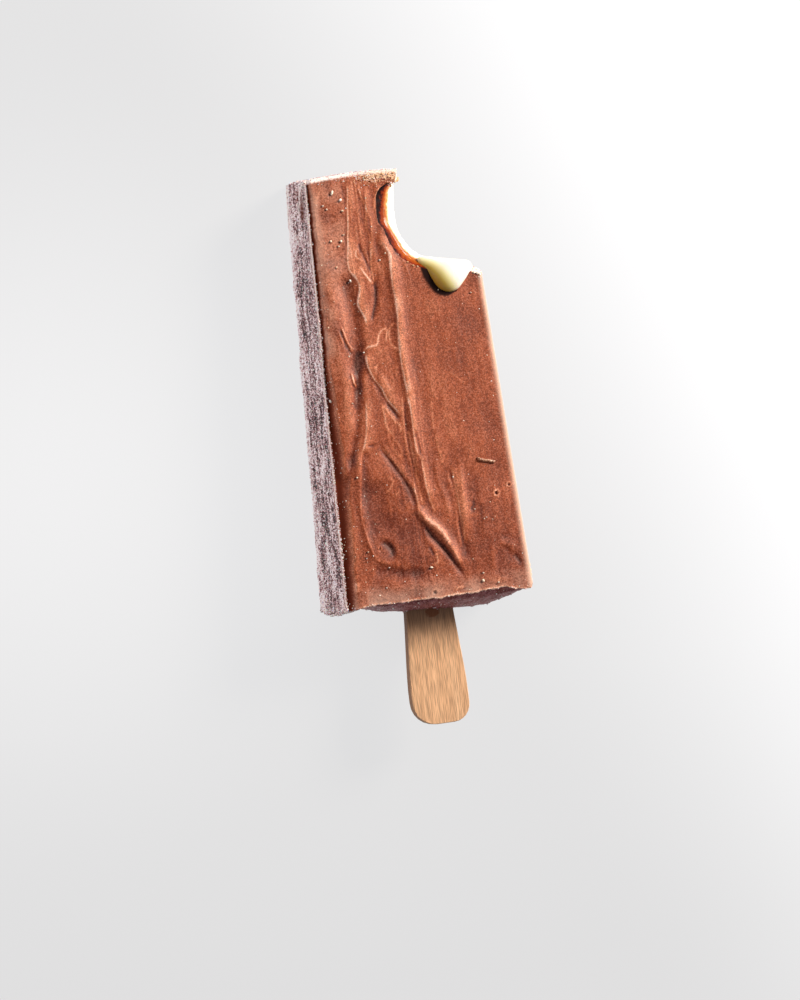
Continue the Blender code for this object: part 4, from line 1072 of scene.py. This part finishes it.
# ---- Crumbs ----
# Bits of ice cream, wafer-brown flakes and chocolate that stuck to the front: cream ones mostly at the
# upper left, small ones along the lip, golden flakes at the tip of the bite.
BROWN_CRUMBS = [
    (1.5, 50.9, 0.50, 0.40, 0), (0.2, 50.6, 0.45, 0.36, 40), (-1.6, 50.2, 0.42, 0.34, 90),
    (1.0, 49.8, 0.50, 0.34, 60), (-0.6, 49.6, 0.40, 0.30, 10), (-3.6, 49.8, 0.40, 0.30, 0),
    (0.6, 49.2, 0.42, 0.34, 20), (-2.2, 49.0, 0.36, 0.28, 70), (-5.4, 50.0, 0.34, 0.28, 70),
    (-7.0, 49.6, 0.34, 0.28, 20), (-4.4, 49.2, 0.40, 0.26, 130), (-3.0, 48.3, 0.34, 0.26, 30),
    (-1.2, 50.8, 0.60, 0.34, 150), (0.4, 50.0, 0.55, 0.30, 110), (-2.6, 50.4, 0.5, 0.3, 60),
    (-0.2, 48.6, 0.44, 0.24, 140), (1.6, 49.2, 0.5, 0.3, 20), (-5.0, 48.4, 0.3, 0.2, 80),
    (3.6, 28.6, 0.55, 0.3, 150), (4.7, 28.4, 0.5, 0.26, 120), (2.4, 29.6, 0.45, 0.3, 20),
]
# Flakes that stand out of the wall of the bite at its tip, and a lump on the right wall near the stick end.
EDGE_FLAKES = [(3.6, 49.6, 1.3, 0.5, 30), (4.2, 48.6, 1.5, 0.45, 10), (4.0, 47.8, 1.0, 0.5, 150), (3.6,
    46.4, 0.9, 0.4, 40), (3.8, 45.6, 0.7, 0.4, 100), (24.0, -44.6, 0.8, 1.6, 0), (24.0, -45.8, 0.9, 1.4,
    10), (24.0, -46.8, 0.7, 1.0, 0)]
CRUMB_THICKNESS = 0.46 * MM
TINY_CRUMBS = 420
TINY_RADIUS = 0.085 * MM
deselect()
bpy.ops.mesh.primitive_ico_sphere_add(subdivisions=2, radius=1)
nub = bpy.context.object
nub_points = points_of(nub) * (1 + 0.22 * lumps(points_of(nub), 0.7, 41))[:, None]
nub_faces = np.array([face.vertices[:] for face in nub.data.polygons])
bpy.data.objects.remove(nub)


def laid_crumbs(rows, thickness, depth):
    """A copy of the nub for each row, half sunk into the coat, DEPTH millimetres under the front."""
    copies = []
    for x, y, length, width, turn in rows:
        _, at, _, _ = coat.closest_point_on_mesh(Vector((x * MM, y * MM, bar_height(y * MM) - depth * MM)))
        shaped = nub_points * np.array([length * MM / 2, width * MM / 2, thickness / 2 + 0.1 * MM])
        spin = np.array(Matrix.Rotation(math.radians(turn), 3, 'Z'))
        copies.append(shaped @ spin.T + np.array(at) + np.array([0, 0, thickness / 4]))
    return np.array(copies)


# The tiny ones are thickest in the left groove, along the lip, and down the long furrow.
by_groove = ramp(3.5, 0.5, left_gap) * (y < 30)
by_lip = ramp(3.0, 0.6, y + 50)
by_furrow = np.exp(-((x + 14.2 + (8 - y) * 0.05) / 2.2) ** 2) * (y < 26)
tiny_density = outside * (under_front < 2.2) * (0.10 + 1.4 * by_groove + 0.8 * by_lip + 0.5 * by_furrow)
tiny_places = surface_spots(coat, tiny_density, TINY_CRUMBS, rng)
tiny_sizes = TINY_RADIUS * rng.lognormal(0.0, 0.4, TINY_CRUMBS)
tiny_copies = turned_copies(crystal_points, tiny_places, tiny_sizes, rng)
tiny = joined_mesh("tiny_crumbs", tiny_copies, crystal_faces, 0.6 + 0.4 * rng.random(TINY_CRUMBS))
deselect()
tiny.select_set(True)
for name, rows, thickness, depth, shade, spread in (
        ("cream_crumbs", CREAM_CRUMBS, CRUMB_THICKNESS, -1.0, 0.62, 0.28),
        ("brown_flakes", BROWN_CRUMBS, CRUMB_THICKNESS * 0.6, -1.0, 0.12, 0.45),
        ("edge_flakes", EDGE_FLAKES, CRUMB_THICKNESS * 1.6, 2.0, 0.42, 0.14)):
    shades = shade + spread * rng.random(len(rows))
    joined_mesh(name, laid_crumbs(rows, thickness, depth), nub_faces, shades).select_set(True)
bpy.context.view_layer.objects.active = tiny
bpy.ops.object.join()
crumbs = bpy.context.object
crumbs.name = "crumbs"
flecks, tree = new_material("frozen_cream_and_flake_crumbs")
# One material from golden brown flakes to frozen cream, mottled at a sixth of a millimetre.
place = add(tree, 'ShaderNodeTexCoord').outputs["Object"]
mottle = add(tree, 'ShaderNodeTexNoise', {"Vector": place, "Scale": 1 / (0.16 * MM), "Detail": 1.0})
shade_here = add(tree, 'ShaderNodeAttribute', attribute_name="shade").outputs["Fac"]
mottled = add(tree, 'ShaderNodeMath', {0: mottle, 1: 0.22, 2: shade_here}, operation='MULTIPLY_ADD')
crumb_colour = add(tree, 'ShaderNodeValToRGB', {"Fac": mottled})
colour_stops(crumb_colour, [(0.0, "#5a2a10"), (0.3, "#a06026"), (0.55, "#dfae74"), (0.8, "#fbecd0"), (1.0,
    "#fffaf0")])
surface = add(tree, 'ShaderNodeBsdfPrincipled', {"Base Color": crumb_colour, "Roughness": 0.45})
close_material(tree, surface)
crumbs.data.materials.append(flecks)
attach(crumbs, "root")

# ---- Chocolate splinter ----
# A thin sliver of chocolate, broken off the coat, that froze on to the front with a chip across its end.
SPLINTER = [(12.9, -18.0, 0.10), (13.2, -18.3, 0.42), (13.7, -18.6, 0.40), (14.6, -18.8, 0.34), (15.6,
    -19.0, 0.36), (16.6, -19.3, 0.38), (17.2, -19.4, 0.34), (17.5, -19.3, 0.10)]
SPLINTER_SIDES = 8
deselect()
bpy.ops.mesh.primitive_circle_add(vertices=SPLINTER_SIDES, radius=1, fill_type='NGON')
splinter = bpy.context.object
splinter.name = "chocolate_splinter"
edit_all(bpy.ops.mesh.extrude_region_move, len(SPLINTER) - 1, TRANSFORM_OT_translate={"value": (0, 0, 1)})
sliver = points_of(splinter)
section = np.rint(sliver[:, 2]).astype(int)
line = np.array(SPLINTER)[section]
heights = np.array([spots.find(Vector((px * MM, py * MM, bar_height(py * MM))))[0].z for px, py, _ in line])
sliver_width = line[:, 2] * MM
sliver_x = line[:, 0] * MM + 0.12 * sliver[:, 0] * sliver_width
sliver_y = line[:, 1] * MM + sliver[:, 0] * sliver_width
sliver_z = heights + (sliver[:, 1] * 0.9 + 0.75) * sliver_width
move_points(splinter, np.column_stack([sliver_x, sliver_y, sliver_z]))
edit_all(bpy.ops.mesh.normals_make_consistent, inside=False)
apply_modifier(splinter, 'SUBSURF', levels=2, render_levels=2)
bpy.ops.object.shade_smooth()
sliver_chocolate, tree = new_material("snapped_chocolate_splinter")
# Darker than the coat, as it has no bloom, with paler broken grain.
place = add(tree, 'ShaderNodeTexCoord').outputs["Object"]
break_grain = add(tree, 'ShaderNodeTexNoise', {"Vector": place, "Scale": 1 / (0.3 * MM), "Detail": 2.0})
sliver_colour = add(tree, 'ShaderNodeValToRGB', {"Fac": break_grain})
colour_stops(sliver_colour, [(0.35, "#6a3420"), (0.55, "#b57a56"), (0.75, "#f0d3b8")])
surface = add(tree, 'ShaderNodeBsdfPrincipled', {"Base Color": sliver_colour, "Roughness": 0.4})
close_material(tree, surface)
splinter.data.materials.append(sliver_chocolate)
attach(splinter, "root")

# ---- Stick ----
# Flat birch, stamped from veneer and tumbled, so its arrises are eased. Fine straight fibres a fifth of a
# millimetre wide, cut short where the grain runs out, over soft bands. Chocolate has smeared its neck.
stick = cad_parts["wooden_stick"]
birch, tree = new_material("tumbled_birch_veneer")
place = add(tree, 'ShaderNodeTexCoord').outputs["Object"]
fibre_space = add(tree, 'ShaderNodeMapping', {"Vector": place, "Scale": (1.0, 0.022, 1.0)})
fibres = add(tree, 'ShaderNodeTexNoise', {"Vector": fibre_space, "Scale": 1 / (0.145 * MM), "Detail": 1.0})
band_space = add(tree, 'ShaderNodeMapping', {"Vector": place, "Scale": (1.0, 0.04, 1.0)})
bands = add(tree, 'ShaderNodeTexNoise', {"Vector": band_space, "Scale": 1 / (2.2 * MM), "Detail": 2.0})
light_wood = add(tree, 'ShaderNodeMix', {"Factor": bands, "A": srgb("#cf9d73"), "B": srgb("#e8bd94")},
    data_type='RGBA')
fibre_gain = add(tree, 'ShaderNodeMapRange', {"Value": fibres, "From Min": 0.38, "From Max": 0.60,
    "To Min": 0.62, "To Max": 1.18})
wood_tone = add(tree, 'ShaderNodeVectorMath', {0: light_wood, "Scale": fibre_gain}, operation='SCALE')
fibre_bump = add(tree, 'ShaderNodeBump', {"Strength": 0.4, "Distance": 0.08 * MM, "Height": fibres})
# Painted shadow of the bar on the stick's neck: greyed, most close to the bar.
along_stick = add(tree, 'ShaderNodeSeparateXYZ', {"Vector": place}).outputs["Y"]
neck_shadow = add(tree, 'ShaderNodeMapRange', {"Value": along_stick, "From Min": -63 * MM,
    "From Max": -51.5 * MM, "To Max": 0.66}, interpolation_type='SMOOTHSTEP')
neck_shadowed = add(tree, 'ShaderNodeMix', {"Factor": neck_shadow, "A": wood_tone, "B": srgb("#5b3d2e")},
    data_type='RGBA')
# The smear: chocolate that ran on to the neck in a patch a few millimetres long, ragged at its edge.
SMEAR_CENTRE, SMEAR_SIZE = (0.5 * MM, -53.1 * MM), (1.9 * MM, 1.3 * MM)
smear_x, smear_y = (-centre / size for centre, size in zip(SMEAR_CENTRE, SMEAR_SIZE))
smear_at = add(tree, 'ShaderNodeMapping', {"Vector": place, "Location": (smear_x, smear_y, 0),
    "Scale": (1 / SMEAR_SIZE[0], 1 / SMEAR_SIZE[1], 0)})
smear_far = add(tree, 'ShaderNodeVectorMath', {0: smear_at}, operation='LENGTH')
ragged = add(tree, 'ShaderNodeTexNoise', {"Vector": place, "Scale": 1 / (0.9 * MM), "Detail": 2.0})
smear_edge = add(tree, 'ShaderNodeMath', {0: ragged, 1: 0.9, 2: smear_far.outputs["Value"]},
    operation='MULTIPLY_ADD')
smear = add(tree, 'ShaderNodeMapRange', {"Value": smear_edge, "From Min": 1.20, "From Max": 1.45,
    "To Min": 0.70, "To Max": 0.0})
smeared = add(tree, 'ShaderNodeMix', {"Factor": smear, "A": neck_shadowed, "B": srgb("#7a3c10")},
    data_type='RGBA')
# Painted shade: the stick's sides, turned away from the light, are darker.
facing = add(tree, 'ShaderNodeNewGeometry').outputs["Normal"]
facing_up = add(tree, 'ShaderNodeSeparateXYZ', {"Vector": facing}).outputs["Z"]
side_shade = add(tree, 'ShaderNodeMapRange', {"Value": facing_up, "From Min": 0.15, "From Max": 0.75,
    "To Min": 0.75, "To Max": 0.0})
side_shaded = add(tree, 'ShaderNodeMix', {"Factor": side_shade, "A": smeared, "B": srgb("#5d3a1e")},
    data_type='RGBA')
surface = add(tree, 'ShaderNodeBsdfPrincipled', {"Base Color": side_shaded, "Roughness": 0.6,
    "Specular IOR Level": 0.3, "Normal": fibre_bump})
close_material(tree, surface)
stick.data.materials.clear()
stick.data.materials.append(birch)
